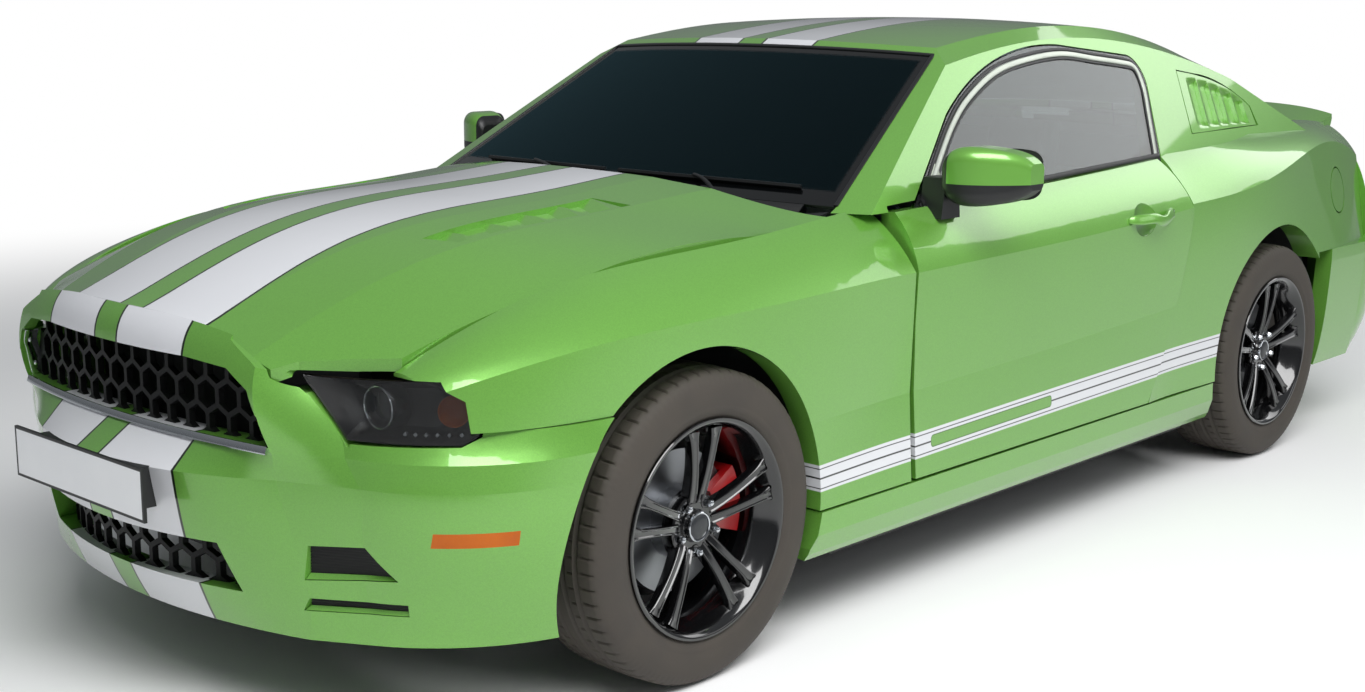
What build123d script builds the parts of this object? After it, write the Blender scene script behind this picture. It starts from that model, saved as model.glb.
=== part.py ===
"""Two-door muscle coupe, in millimetres.

+X points to the nose, +Y to the car's left side, +Z up. The origin lies on the ground,
in the middle of the overall length.
"""
import os
from math import cos, radians, sin, sqrt
from build123d import *

# ---------------------------------------------------------------- driving dimensions
length = 4788.0            # nose to tail
body_width = 1877.0        # over the doors, mirrors folded out come on top
wheelbase = 2720.0
front_overhang = 955.0     # front axle to the nose
roof_height = 1405.0
track_front = 1570.0
track_rear = 1588.0

tyre_radius = 346.0
tyre_width = 235.0
bead_radius = 228.6        # 18 inch rim
rim_lip_radius = 242.0
rim_width = 226.0
rim_offset = 44.0          # wheel centre plane to the hub face
hub_radius = 72.0
brake_disc_radius = 158.0
brake_disc_thickness = 26.0

panel_gap = 5.0            # between a moving panel and its neighbours
panel_wall = 60.0          # fender and quarter, skin to inner flange
door_wall = 120.0          # door, skin to trim
roof_wall = 45.0           # roof and pillars
glass_thickness = 5.0
cover_wall = 55.0          # bumper covers with their foam
lid_thickness = 26.0       # hood and trunk lid

ride_floor_z = 165.0       # underside of the floor
floor_thickness = 30.0
belt_z = 960.0             # bottom of the side glass at the front

half_width = body_width / 2
nose_x = length / 2
tail_x = -length / 2
front_axle_x = nose_x - front_overhang
rear_axle_x = front_axle_x - wheelbase
wheel_z = tyre_radius
floor_top_z = ride_floor_z + floor_thickness

door_front_x = 722.0
door_rear_x = -620.0
sill_top_z = 306.0         # top of the sill moulding
panel_bottom_z = 311.0     # lower edge of door and quarter

front_arch_radius = 396.0
front_arch_shift = 28.0    # arch centre ahead of the axle
rear_arch_radius = 410.0
arch_z = 350.0

parts_dir = "parts"
os.makedirs(parts_dir, exist_ok=True)


def save(part, label):
    """Label a finished piece and write it under its own name."""
    part.label = label
    export_step(part, f"{parts_dir}/{label}.step")


def save_pair(part, label, left_suffix="_left", right_suffix="_right"):
    """Write a left-hand piece and its mirror image."""
    save(part, label + left_suffix)
    with BuildPart() as twin:
        add(mirror(part, about=Plane.XZ))
    save(twin.part, label + right_suffix)


def side_prism(points, y_from, y_to):
    """A block whose outline is drawn in side view, x against z."""
    with BuildPart() as block:
        with BuildSketch(Plane.XZ.offset(-y_from)):
            with BuildLine():
                Polyline(*points, close=True)
            make_face()
        extrude(amount=-(y_to - y_from))
    return block.part


def plan_prism(points, z_from, z_to):
    """A block whose outline is drawn from above, x against y."""
    with BuildPart() as block:
        with BuildSketch(Plane.XY.offset(z_from)):
            with BuildLine():
                Polyline(*points, close=True)
            make_face()
        extrude(amount=z_to - z_from)
    return block.part


def front_prism(points, x_from, x_to):
    """A block whose outline is drawn in front view, y against z."""
    with BuildPart() as block:
        with BuildSketch(Plane.YZ.offset(x_from)):
            with BuildLine():
                Polyline(*points, close=True)
            make_face()
        extrude(amount=x_to - x_from)
    return block.part


def block(x0, x1, y0, y1, z0, z1):
    """A plain box between two corners."""
    with BuildPart(Plane(origin=(x0, y0, z0))) as box:
        Box(x1 - x0, y1 - y0, z1 - z0, align=(Align.MIN, Align.MIN, Align.MIN))
    return box.part


def cross_cylinder(x, z, radius, y_from, y_to):
    """A cylinder along Y."""
    with BuildPart(Plane(origin=(x, y_from, z), x_dir=(1, 0, 0), z_dir=(0, 1, 0))) as bar:
        Cylinder(radius, y_to - y_from, align=(Align.CENTER, Align.CENTER, Align.MIN))
    return bar.part


def cylinder_between(start, end, radius):
    """A round bar from one point to another."""
    path = Vector(*end) - Vector(*start)
    with BuildPart(Plane(origin=start, z_dir=tuple(path))) as bar:
        Cylinder(radius, path.length, align=(Align.CENTER, Align.CENTER, Align.MIN))
    return bar.part


# ---------------------------------------------------------------- side walls
# Each row is one station of the left side: x, then for each line its inset from the half
# width and its height: lower edge, waist, shoulder crease, top edge.
fender_rows = (
    (nose_x - 314, 165, panel_bottom_z, 165, 520, 180, 715, 278, 750),
    (nose_x - 474, 76, panel_bottom_z, 70, 520, 88, 765, 238, 827),
    (front_axle_x + 261, 38, panel_bottom_z, 33, 520, 43, 795, 218, 888),
    (front_axle_x, 33, panel_bottom_z, 26, 520, 33, 805, 208, 922),
    (front_axle_x - 339, 35, panel_bottom_z, 38, 520, 35, 812, 196, 943),
    (door_front_x - 20, 33, panel_bottom_z, 43, 530, 38, 819, 190, 957),
)
cabin_side_rows = (
    (door_front_x + 20, 33, panel_bottom_z, 43, 530, 38, 819, 120, 955),
    (50, 31, panel_bottom_z, 41, 550, 32, 833, 122, 975),
    (door_rear_x + 180, 29, panel_bottom_z, 35, 572, 24, 854, 124, 996),
    (rear_axle_x + 331, 26, panel_bottom_z, 23, 600, 18, 893, 134, 1022),
    (rear_axle_x, 25, panel_bottom_z, 20, 620, 30, 942, 170, 1040),
    (rear_axle_x - 419, 38, panel_bottom_z, 33, 620, 93, 995, 272, 1056),
    (tail_x + 394, 70, panel_bottom_z, 62, 600, 138, 965, 284, 1048),
    (tail_x + 180, 150, panel_bottom_z, 128, 600, 168, 900, 290, 1022),
)
crease_bulge = 9.0         # how far the shoulder swells above a straight line


def wall_section(row, wall, ledge):
    """Closed section of a side wall: skin, a ledge along the top edge, straight inner face."""
    x, low_in, low_z, waist_in, waist_z, crease_in, crease_z, top_in, top_z = row
    low = (half_width - low_in, low_z)
    waist = (half_width - waist_in, waist_z)
    crease = (half_width - crease_in, crease_z)
    top = (half_width - top_in, top_z)
    middle = ((crease[0] + top[0]) / 2 + crease_bulge, (crease[1] + top[1]) / 2 + crease_bulge)
    ledge_edge = (top[0] - ledge, top_z - 2)
    inner_top = (top[0] - ledge, top_z - lid_thickness - 14)
    inner_crease = (crease[0] - wall, crease_z - wall)
    inner_low = (half_width - low_in - wall, low_z)
    with BuildSketch(Plane.YZ.offset(x)) as section:
        with BuildLine():
            Line(low, waist)
            Line(waist, crease)
            ThreePointArc(crease, middle, top)
            Polyline(top, ledge_edge, inner_top, inner_crease, inner_low, low)
        make_face()
    return section.sketch


def side_wall(rows, wall, ledge=4):
    """A side wall lofted through its stations."""
    with BuildPart() as panel:
        loft(sections=[wall_section(row, wall, ledge) for row in rows])
    return panel.part


# ---------------------------------------------------------------- greenhouse
# Station of the glasshouse: x, height of the cant rail, height of the roof's middle.
roof_rows = (
    (960, roof_height - 185, roof_height - 130),
    (250, roof_height - 82, roof_height - 56),
    (-240, roof_height - 24, roof_height - 6),
    (-750, roof_height - 38, roof_height - 12),
    (-1120, roof_height - 104, roof_height - 62),
    (-1800, roof_height - 330, roof_height - 285),
)
shell_low_z = 900.0
side_low_y = 836.0         # side glass plane at shell_low_z
side_lean = 0.50           # inward lean of the side glass, y over z
rail_y = 574.0             # roof seam on top of the cant rail
rail_drop = 34.0           # from the roof seam to the top of the side glass plane

screen_low_z = 900.0
screen_high_z = 1470.0
windscreen_base_x = 880.0  # at the middle, at windscreen_base_z
windscreen_base_z = 1005.0
windscreen_rake = 1.80     # x over z
windscreen_bow = 238.0     # corners behind the middle, at screen_half
rear_screen_top_x = -1050.0
rear_screen_top_z = 1362.0
rear_screen_rake = 2.36
rear_screen_bow = 147.0
screen_half = 900.0


def cabin_section(row, inset):
    """Section of the glasshouse at one station, drawn inset all round."""
    x, rail_z, middle_z = row
    rail_z -= inset
    plane_top_z = rail_z - rail_drop
    low = (side_low_y - inset, shell_low_z - 2 * inset)
    plane_top = (side_low_y - inset - side_lean * (plane_top_z - shell_low_z), plane_top_z)
    rail = (min(rail_y, plane_top[0] - 20), rail_z)
    with BuildSketch(Plane.YZ.offset(x)) as section:
        with BuildLine():
            Polyline((-rail[0], rail[1]), (-plane_top[0], plane_top[1]), (-low[0], low[1]),
                     low, plane_top, rail)
            ThreePointArc(rail, (0, middle_z - inset), (-rail[0], rail[1]))
        make_face()
    return section.sketch


def screen_zone(base_x, base_z, rake, bow, toward):
    """Everything on the cabin's side of a raked screen that is bowed in plan."""
    def plan(z):
        middle_x = base_x - toward * rake * (z - base_z)
        corner_x = middle_x - toward * bow
        back_x = -toward * length
        with BuildSketch(Plane.XY.offset(z)) as outline:
            with BuildLine():
                ThreePointArc((corner_x, -screen_half), (middle_x, 0), (corner_x, screen_half))
                Polyline((corner_x, screen_half), (back_x, screen_half), (back_x, -screen_half),
                         (corner_x, -screen_half))
            make_face()
        return outline.sketch
    with BuildPart() as zone:
        loft(sections=[plan(screen_low_z - 200), plan(screen_high_z)], ruled=True)
    return zone.part


def glasshouse(inset):
    """The closed outer form of the glasshouse, inset all round."""
    front_shift = inset * sqrt(1 + windscreen_rake ** 2)
    rear_shift = inset * sqrt(1 + rear_screen_rake ** 2)
    with BuildPart() as house:
        loft(sections=[cabin_section(row, inset) for row in roof_rows])
        add(screen_zone(windscreen_base_x - front_shift, windscreen_base_z, windscreen_rake,
                        windscreen_bow, 1), mode=Mode.INTERSECT)
        add(screen_zone(rear_screen_top_x + rear_shift, rear_screen_top_z, rear_screen_rake,
                        rear_screen_bow, -1), mode=Mode.INTERSECT)
    return house.part


# ---------------------------------------------------------------- outlines shared by neighbours
def side_zone(outline, margin, y_from, y_to, taper=0):
    """A block behind a side-view outline, grown or shrunk by a margin."""
    with BuildPart() as zone:
        with BuildSketch(Plane.XZ.offset(-y_to)):
            add(outline())
            if margin:
                offset(amount=margin)
        extrude(amount=y_to - y_from, taper=taper)
    return zone.part


def door_outline():
    """Door below the belt, in side view."""
    front = door_front_x - panel_gap
    with BuildSketch() as outline:
        with BuildLine():
            Polyline((door_rear_x + 175, panel_bottom_z), (front - 12, panel_bottom_z), (front, 700),
                     (front - 9, belt_z + 5), (door_rear_x + 54, belt_z + 55),
                     (door_rear_x + 14, belt_z + 55), (door_rear_x - 28, 850))
            ThreePointArc((door_rear_x - 28, 850), (door_rear_x + 42, 545),
                          (door_rear_x + 175, panel_bottom_z))
        make_face()
    return outline.sketch


def window_outline():
    """Side window, in side view, down into the door."""
    with BuildSketch() as outline:
        with BuildLine():
            Line((616, shell_low_z - 50), (616, belt_z - 8))
            Line((616, belt_z - 8), (330, 1163))
            ThreePointArc((330, 1163), (40, 1287), (-330, 1330))
            Line((-330, 1330), (-690, 1296))
            ThreePointArc((-690, 1296), (-747, 1266), (-752, 1200))
            Polyline((-752, 1200), (-655, shell_low_z + 60), (-655, shell_low_z - 50),
                     (616, shell_low_z - 50))
        make_face()
    return outline.sketch


def louvre_outline():
    """Louvred panel behind the side window, in side view."""
    with BuildSketch() as outline:
        with BuildLine():
            Polyline((-919, 1058), (-1386, 1064), (-1379, 1126))
            ThreePointArc((-1379, 1126), (-1260, 1193), (-1080, 1236))
            Polyline((-1080, 1236), (-975, 1250), (-919, 1058))
        make_face()
    return outline.sketch


hood_front_x = nose_x - 124
hood_rear_x = 843.0
hood_rear_bow = 187.0      # middle of the rear edge ahead of its corners
hood_edge_y = 745.0


def hood_outline():
    """Hood from above."""
    corner = (hood_front_x - 40, 470)
    lamp_top = (hood_front_x - 84, 500)
    shoulder = (hood_front_x - 206, 662)
    flank = (hood_front_x - 560, 717)
    rear = (hood_rear_x, hood_edge_y)
    with BuildSketch() as outline:
        with BuildLine():
            ThreePointArc((corner[0], -corner[1]), (hood_front_x, 0), corner)
            Polyline(corner, lamp_top, shoulder)
            ThreePointArc(shoulder, flank, rear)
            ThreePointArc(rear, (hood_rear_x + hood_rear_bow, 0), (rear[0], -rear[1]))
            ThreePointArc((rear[0], -rear[1]), (flank[0], -flank[1]), (shoulder[0], -shoulder[1]))
            Polyline((shoulder[0], -shoulder[1]), (lamp_top[0], -lamp_top[1]),
                     (corner[0], -corner[1]))
        make_face()
    return outline.sketch


def plan_zone(outline, margin, z_from, z_to):
    """A block above a plan outline, grown or shrunk by a margin."""
    with BuildPart() as zone:
        with BuildSketch(Plane.XY.offset(z_from)):
            add(outline())
            if margin:
                offset(amount=margin)
        extrude(amount=z_to - z_from)
    return zone.part


# Hood stations: x, then y and height of the edge, the shoulder and the bulge, middle height.
hood_rows = (
    (nose_x - 80, 610, 600, 420, 735, 250, 790, 800),
    (front_axle_x + 631, 668, 770, 440, 846, 270, 880, 893),
    (front_axle_x + 435, 705, 836, 460, 915, 290, 945, 957),
    (front_axle_x + 142, 727, 905, 465, 962, 300, 985, 1000),
    (front_axle_x - 184, 737, 934, 460, 983, 300, 1002, 1017),
    (hood_rear_x - 20, 746, 954, 450, 1000, 290, 1016, 1030),
)


def hood_section(row):
    """Closed section of the hood: edge, shoulder, bulge and a crowned middle."""
    x, edge_y, edge_z, shoulder_y, shoulder_z, bulge_y, bulge_z, middle_z = row
    right = ((-edge_y, edge_z), (-shoulder_y, shoulder_z), (-bulge_y, bulge_z))
    left = tuple((-y, z) for y, z in reversed(right))
    with BuildSketch(Plane.YZ.offset(x)) as section:
        with BuildLine():
            Polyline(*right)
            ThreePointArc(right[2], (0, middle_z), left[0])
            Polyline(*left)
            Line(left[2], (edge_y, edge_z - lid_thickness))
            ThreePointArc((edge_y, edge_z - lid_thickness), (0, middle_z - lid_thickness),
                          (-edge_y, edge_z - lid_thickness))
            Line((-edge_y, edge_z - lid_thickness), right[0])
        make_face()
    return section.sketch


def make_hood():
    with BuildPart() as hood:
        loft(sections=[hood_section(row) for row in hood_rows])
        add(plan_zone(hood_outline, 0, 500, 1200), mode=Mode.INTERSECT)
        add(both_sides(front_zone(lamp_outline, panel_gap, 1900, nose_x)), mode=Mode.SUBTRACT)
        add(front_zone(grille_outline, panel_gap, 1900, nose_x), mode=Mode.SUBTRACT)
        skin = hood.part
        vents = vent_zone() & (skin - Pos(0, 0, -vent_depth) * skin)
        add(both_sides(vents), mode=Mode.SUBTRACT)
        add(both_sides(vent_slats() & vents))
    return hood.part


# Vent of the left side, from above: front inner, front outer, rear outer, rear inner corner.
vent_corners = ((1780, 374), (1739, 447), (1232, 455), (1258, 353))
vent_depth = 14.0
vent_slat_count = 5
vent_slat_low_z = 936.0    # top of the hood at the front end of the vent
vent_slope = -0.086        # height over x along the vent


def vent_zone():
    return plan_prism(vent_corners, 800, 1100)


def vent_slats():
    """Sawtooth slats: each rises to the rear and drops straight into its slot."""
    front_x = vent_corners[0][0]
    rear_x = vent_corners[2][0]
    pitch = (front_x - rear_x) / vent_slat_count
    with BuildPart() as slats:
        for index in range(vent_slat_count):
            start = front_x - index * pitch
            end = start - 0.72 * pitch
            low = vent_slat_low_z + vent_slope * (start - front_x) - vent_depth
            high = vent_slat_low_z + vent_slope * (end - front_x) + vent_depth
            add(side_prism(((start, low - 10), (start, low + 2), (end, high), (end, low - 10)),
                           300, 500))
    return slats.part


# ---------------------------------------------------------------- nose and tail forms
# Plan slices: height, setback of the middle from the end of the car, then setback and y of
# the corner, the cheek, the bend and the flank.
nose_low_rows = (
    (200, 124, 209, 500, 284, 630, 364, 730, 660, 868),
    (275, 88, 204, 515, 269, 620, 344, 735, 660, 888),
    (420, 44, 179, 500, 244, 637, 319, 770, 660, 903),
    (530, 22, 164, 470, 239, 640, 314, 775, 660, 908),
)
nose_high_rows = (
    (585, 103, 152, 482, 235, 600, 319, 770, 660, 908),
    (650, 98, 128, 470, 236, 566, 372, 782, 660, 904),
    (745, 81, 132, 462, 212, 494, 344, 722, 660, 880),
    (830, 112, 179, 450, 224, 488, 334, 640, 660, 800),
)
tail_low_rows = (
    (235, 60, 104, 500, 144, 620, 204, 720, 420, 868),
    (330, 12, 72, 560, 108, 680, 160, 770, 420, 888),
    (480, 2, 62, 580, 98, 700, 150, 792, 420, 902),
    (600, 14, 78, 590, 114, 710, 168, 800, 420, 907),
)
tail_high_rows = (
    (645, 78, 120, 580, 148, 700, 196, 797, 420, 906),
    (760, 108, 142, 560, 170, 690, 214, 795, 420, 900),
    (880, 128, 160, 545, 190, 680, 236, 780, 420, 880),
    (1010, 152, 185, 530, 215, 620, 262, 705, 420, 800),
)
end_reach = 745.0          # how far both forms run back from the end of the car


def slice_outline(row, end_x, inset):
    """Plan slice of the nose (end_x > 0) or the tail, closed straight across at the flanks."""
    z, middle, corner_x, corner_y, cheek_x, cheek_y, bend_x, bend_y, flank_x, flank_y = row
    toward = 1 if end_x > 0 else -1
    def point(setback, y):
        return (end_x - toward * (setback + inset), y)
    corner, cheek = point(corner_x, corner_y - inset), point(cheek_x, cheek_y - inset)
    bend, flank = point(bend_x, bend_y - inset), point(flank_x, flank_y - inset)
    root = point(end_reach, flank_y - inset)
    with BuildSketch(Plane.XY.offset(z)) as outline:
        with BuildLine():
            ThreePointArc((corner[0], -corner[1]), point(middle, 0), corner)
            Line(corner, cheek)
            ThreePointArc(cheek, bend, flank)
            Polyline(flank, root, (root[0], -root[1]), (flank[0], -flank[1]))
            ThreePointArc((flank[0], -flank[1]), (bend[0], -bend[1]), (cheek[0], -cheek[1]))
            Line((cheek[0], -cheek[1]), (corner[0], -corner[1]))
        make_face()
    return outline.sketch


def end_form(low_rows, high_rows, end_x, inset):
    """Solid form of the nose or the tail: lower part, ledge and upper part."""
    low = [slice_outline(row, end_x, inset) for row in low_rows]
    high = [slice_outline(row, end_x, inset) for row in high_rows]
    with BuildPart() as form:
        loft(sections=low)
        loft(sections=[low[-1], high[0]], ruled=True)
        loft(sections=high)
    return form.part


def lamp_outline():
    """Headlamp of the left side, in front view."""
    with BuildSketch() as outline:
        with BuildLine():
            Polyline((492, 742), (600, 612), (792, 616), (812, 634), (802, 706), (762, 742),
                     (492, 742))
        make_face()
    return outline.sketch


def grille_outline():
    """Upper grille opening, in front view."""
    with BuildSketch() as outline:
        with BuildLine():
            half = ((270, 757), (388, 748), (448, 712), (470, 662), (480, 600))
            Polyline(*[(-y, z) for y, z in reversed(half)], *half, (-480, 600))
        make_face()
    return outline.sketch


def intake_outline():
    """Lower intake, in front view."""
    with BuildSketch() as outline:
        with BuildLine():
            Polyline((-372, 285), (-340, 388), (340, 388), (372, 285), (-372, 285))
        make_face()
    return outline.sketch


def fog_outline():
    """Fog lamp recess of the left side, in front view."""
    with BuildSketch() as outline:
        with BuildLine():
            Polyline((512, 330), (528, 404), (640, 412), (690, 345), (512, 330))
        make_face()
    return outline.sketch


def slot_outline():
    """Slot below the fog lamp of the left side, in front view."""
    with BuildSketch() as outline:
        with BuildLine():
            Polyline((500, 264), (516, 292), (694, 294), (690, 268), (500, 264))
        make_face()
    return outline.sketch


def tail_lamp_outline():
    """Tail lamp of the left side, in rear view."""
    with BuildSketch() as outline:
        with BuildLine():
            Polyline((440, 704), (440, 872), (790, 862), (772, 716), (440, 704))
        make_face()
    return outline.sketch


def front_zone(outline, margin, x_from, x_to):
    """A block behind a front-view outline, grown or shrunk by a margin."""
    with BuildPart() as zone:
        with BuildSketch(Plane.YZ.offset(x_from)):
            add(outline())
            if margin:
                offset(amount=margin)
        extrude(amount=x_to - x_from)
    return zone.part


def both_sides(part):
    """A left-hand piece and its mirror image in one."""
    with BuildPart() as pair:
        add(part)
        add(mirror(part, about=Plane.XZ), clean=False)
    return pair.part


bumper_seam_z = 645.0      # fender and lamps above, front cover below
rear_seam_z = 640.0        # quarter and tail panel above, rear cover below
quarter_end_x = tail_x + 250
lid_front_x = -1700.0
lid_rear_x = tail_x + 150
lid_half = 632.0
lid_face_half = 408.0
lid_face_low_z = 682.0


def arch_cut(axle_x, shift, radius, y_from=700, y_to=1000):
    return cross_cylinder(axle_x + shift, arch_z, radius, y_from, y_to)


def make_front_bumper(nose, nose_inner):
    with BuildPart() as cover:
        add(nose)
        add(nose_inner, mode=Mode.SUBTRACT)
        add(plan_zone(hood_outline, panel_gap + 3, 704, 1000), mode=Mode.SUBTRACT)
        add(both_sides(front_prism(((380, 1000), (380, 800), (450, 764), (484, 742), (500, 742),
                                    (500, 1000)), 1500, nose_x)), mode=Mode.SUBTRACT)
        add(both_sides(block(1500, nose_x, 606, 1000, bumper_seam_z - 2, 1000)),
            mode=Mode.SUBTRACT)
        add(both_sides(front_prism(((484, 1000), (484, 742), (600, 606), (606, 606), (606, 1000)),
                                   1500, nose_x)), mode=Mode.SUBTRACT)
        add(both_sides(front_zone(lamp_outline, 0, 1500, nose_x)), mode=Mode.SUBTRACT)
        add(both_sides(arch_cut(front_axle_x, front_arch_shift, front_arch_radius)),
            mode=Mode.SUBTRACT)
        for outline in (grille_outline, intake_outline):
            add(front_zone(outline, 0, 1500, nose_x + 10), mode=Mode.SUBTRACT)
        for outline in (fog_outline, slot_outline):
            add(both_sides(front_zone(outline, 0, 1500, nose_x + 10)), mode=Mode.SUBTRACT)
    return cover.part


def make_door():
    """Door shell below the belt, its edges drawn in towards the cabin so that it swings free."""
    with BuildPart() as door:
        add(side_wall(cabin_side_rows[:4], door_wall, ledge=40))
        add(side_zone(door_outline, 0, 700, 940, taper=3), mode=Mode.INTERSECT)
    return door.part


def make_fender():
    with BuildPart() as fender:
        add(side_wall(fender_rows, panel_wall))
        add(block(1300, nose_x, 500, 1000, 0, bumper_seam_z), mode=Mode.SUBTRACT)
        add(block(0, door_front_x, 500, 1000, 0, 1100), mode=Mode.SUBTRACT)
        add(arch_cut(front_axle_x, front_arch_shift, front_arch_radius), mode=Mode.SUBTRACT)
        add(front_zone(lamp_outline, 0, 1900, nose_x), mode=Mode.SUBTRACT)
        add(plan_zone(hood_outline, panel_gap, 500, 1200), mode=Mode.SUBTRACT)
    return fender.part


def make_side_frame(shell, fender):
    """A-pillar, cant rail, C-pillar and rear quarter of the left side."""
    with BuildPart() as frame:
        add(shell)
        add(block(-1800, 960, -1000, rail_y, 0, 1500), mode=Mode.SUBTRACT)
        add(block(-1800, 960, -1000, 1000, 0, belt_z - 20), mode=Mode.SUBTRACT)
        add(windscreen_zone(), mode=Mode.SUBTRACT)
        add(rear_screen_zone(), mode=Mode.SUBTRACT)
        add(side_wall(cabin_side_rows[2:], panel_wall))
        add(block(door_front_x - 60, 1000, 500, 1000, 0, belt_z - 5), mode=Mode.SUBTRACT)
        add(side_zone(window_outline, panel_gap, 400, 1000), mode=Mode.SUBTRACT)
        add(side_zone(door_outline, panel_gap, 600, 1000), mode=Mode.SUBTRACT)
        add(side_zone(louvre_outline, 0, 500, 1000), mode=Mode.SUBTRACT)
        add(arch_cut(rear_axle_x, 8, rear_arch_radius), mode=Mode.SUBTRACT)
        add(block(-3000, rear_axle_x - 300, 300, 1000, 0, rear_seam_z), mode=Mode.SUBTRACT)
        add(block(-3000, quarter_end_x, 300, 1000, 0, 1200), mode=Mode.SUBTRACT)
        add(lid_zone(panel_gap), mode=Mode.SUBTRACT)
        add(fender, mode=Mode.SUBTRACT)
    return frame.part


def windscreen_plan():
    """Windscreen opening from above; the front edge runs on under the wiper cowl."""
    low, high = (800, 718), (232, 588)
    with BuildSketch() as outline:
        with BuildLine():
            ThreePointArc(high, (300, 0), (high[0], -high[1]))
            Polyline((high[0], -high[1]), (low[0], -low[1]), (low[0] + 160, -low[1]),
                     (low[0] + 160, low[1]), low, high)
        make_face()
    return outline.sketch


def windscreen_zone():
    return plan_zone(windscreen_plan, 0, 700, 1500)


def windscreen_glass_plan():
    """Windscreen itself from above."""
    low, high = (800, 718), (232, 588)
    with BuildSketch() as outline:
        with BuildLine():
            ThreePointArc(high, (300, 0), (high[0], -high[1]))
            Line((high[0], -high[1]), (low[0], -low[1]))
            ThreePointArc((low[0], -low[1]), (windscreen_base_x + 42, 0), low)
            Line(low, high)
        make_face()
    return outline.sketch


def rear_screen_plan():
    """Rear window from above."""
    high, low = (-1035, 540), (lid_front_x + 30, 600)
    with BuildSketch() as outline:
        with BuildLine():
            ThreePointArc(high, (-1072, 0), (high[0], -high[1]))
            Line((high[0], -high[1]), (low[0], -low[1]))
            ThreePointArc((low[0], -low[1]), (lid_front_x + 12, 0), low)
            Line(low, high)
        make_face()
    return outline.sketch


def rear_screen_zone():
    return plan_zone(rear_screen_plan, 0, 700, 1500)


def lid_zone(margin):
    """Room of the trunk lid: the deck and the rear face between the lamps."""
    with BuildPart() as zone:
        add(block(lid_rear_x - 200, lid_front_x + margin, -lid_half - margin, lid_half + margin,
                  930, 1300))
        add(block(lid_rear_x - 200, lid_rear_x + 120, -lid_face_half - margin,
                  lid_face_half + margin, lid_face_low_z - margin, 1000))
    return zone.part


# Trunk lid stations: x, height at its edge, height in its middle.
lid_rows = (
    (lid_front_x + 20, 1062, 1083),
    (-1990, 1047, 1068),
    (tail_x + 130, 1012, 1036),
)


def lid_section(row):
    x, edge_z, middle_z = row
    with BuildSketch(Plane.YZ.offset(x)) as section:
        with BuildLine():
            ThreePointArc((-lid_half, edge_z), (0, middle_z), (lid_half, edge_z))
            Line((lid_half, edge_z), (lid_half, edge_z - lid_thickness))
            ThreePointArc((lid_half, edge_z - lid_thickness), (0, middle_z - lid_thickness),
                          (-lid_half, edge_z - lid_thickness))
            Line((-lid_half, edge_z - lid_thickness), (-lid_half, edge_z))
        make_face()
    return section.sketch


def make_trunk_lid(tail, tail_inner):
    """Deck panel with the rear face that comes down between the lamps."""
    with BuildPart() as face:
        add(tail)
        add(tail_inner, mode=Mode.SUBTRACT)
        add(block(tail_x - 10, lid_rear_x + 100, -lid_face_half, lid_face_half,
                  lid_face_low_z, 1010), mode=Mode.INTERSECT)
    with BuildPart() as lid:
        loft(sections=[lid_section(row) for row in lid_rows])
        add(block(lid_rear_x - 200, lid_front_x, -lid_half, lid_half, 900, 1300),
            mode=Mode.INTERSECT)
        add(face.part)
    return lid.part


def make_spoiler(lid):
    """Low blade on the rear edge of the lid, its ends swept down."""
    def blade(y, lift, shrink):
        with BuildSketch(Plane.XZ.offset(-y)) as section:
            with BuildLine():
                tip = tail_x + 96 + shrink
                Polyline((tail_x + 300 - shrink, 990 + lift), (tail_x + 300 - shrink, 1052 + lift))
                ThreePointArc((tail_x + 300 - shrink, 1052 + lift),
                              (tail_x + 210, 1068 + lift), (tip, 1092 + lift))
                Polyline((tip, 1092 + lift), (tip - 4, 1074 + lift), (tail_x + 150, 990 + lift),
                         (tail_x + 300 - shrink, 990 + lift))
            make_face()
        return section.sketch
    with BuildPart() as spoiler:
        loft(sections=[blade(y, lift, shrink) for y, lift, shrink in
                       ((-lid_half + 4, -34, 26), (-430, -6, 4), (0, 0, 0), (430, -6, 4),
                        (lid_half - 4, -34, 26))])
        add(lid, mode=Mode.SUBTRACT)
    solids = spoiler.part.solids().sort_by(SortBy.VOLUME)
    with BuildPart() as kept:
        add(solids[-1])
    return kept.part


def make_roof(shell):
    with BuildPart() as roof:
        add(shell)
        add(block(lid_front_x + 30, 960, -rail_y, rail_y, belt_z, 1500), mode=Mode.INTERSECT)
        add(windscreen_zone(), mode=Mode.SUBTRACT)
        add(rear_screen_zone(), mode=Mode.SUBTRACT)
    return largest(roof.part)


def largest(part):
    """The biggest solid of a cut piece."""
    with BuildPart() as kept:
        add(part.solids().sort_by(SortBy.VOLUME)[-1])
    return kept.part


def make_windshield(pane):
    with BuildPart() as glass:
        add(pane)
        add(plan_zone(windscreen_glass_plan, 0, 700, 1500), mode=Mode.INTERSECT)
    return glass.part


def make_rear_window(pane):
    with BuildPart() as glass:
        add(pane)
        add(rear_screen_zone(), mode=Mode.INTERSECT)
        add(block(-1800, 0, -900, 900, 1000, 1500), mode=Mode.INTERSECT)
    return glass.part


def make_door_glass(pane, door):
    with BuildPart() as glass:
        add(pane)
        add(side_zone(window_outline, 0, 540, 1000), mode=Mode.INTERSECT)
        add(door, mode=Mode.SUBTRACT)
        add(block(-800, 720, 500, 1000, 0, belt_z - 12), mode=Mode.SUBTRACT)
    return largest(glass.part)


def make_louvres(shell):
    """Louvred panel in each C-pillar: a recessed plate with slats across it."""
    slats = 5
    with BuildPart() as panel:
        add(shell)
        add(side_zone(louvre_outline, 0, 500, 1000), mode=Mode.INTERSECT)
        for k in range(slats):
            x = -985 - 78 * k
            add(side_prism(((x + 26, 1000), (x - 40, 1000), (x - 18, 1300), (x + 26, 1300)),
                           slat_plane_y(1150), 1000), mode=Mode.SUBTRACT)
    return both_sides(largest(panel.part))


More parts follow.
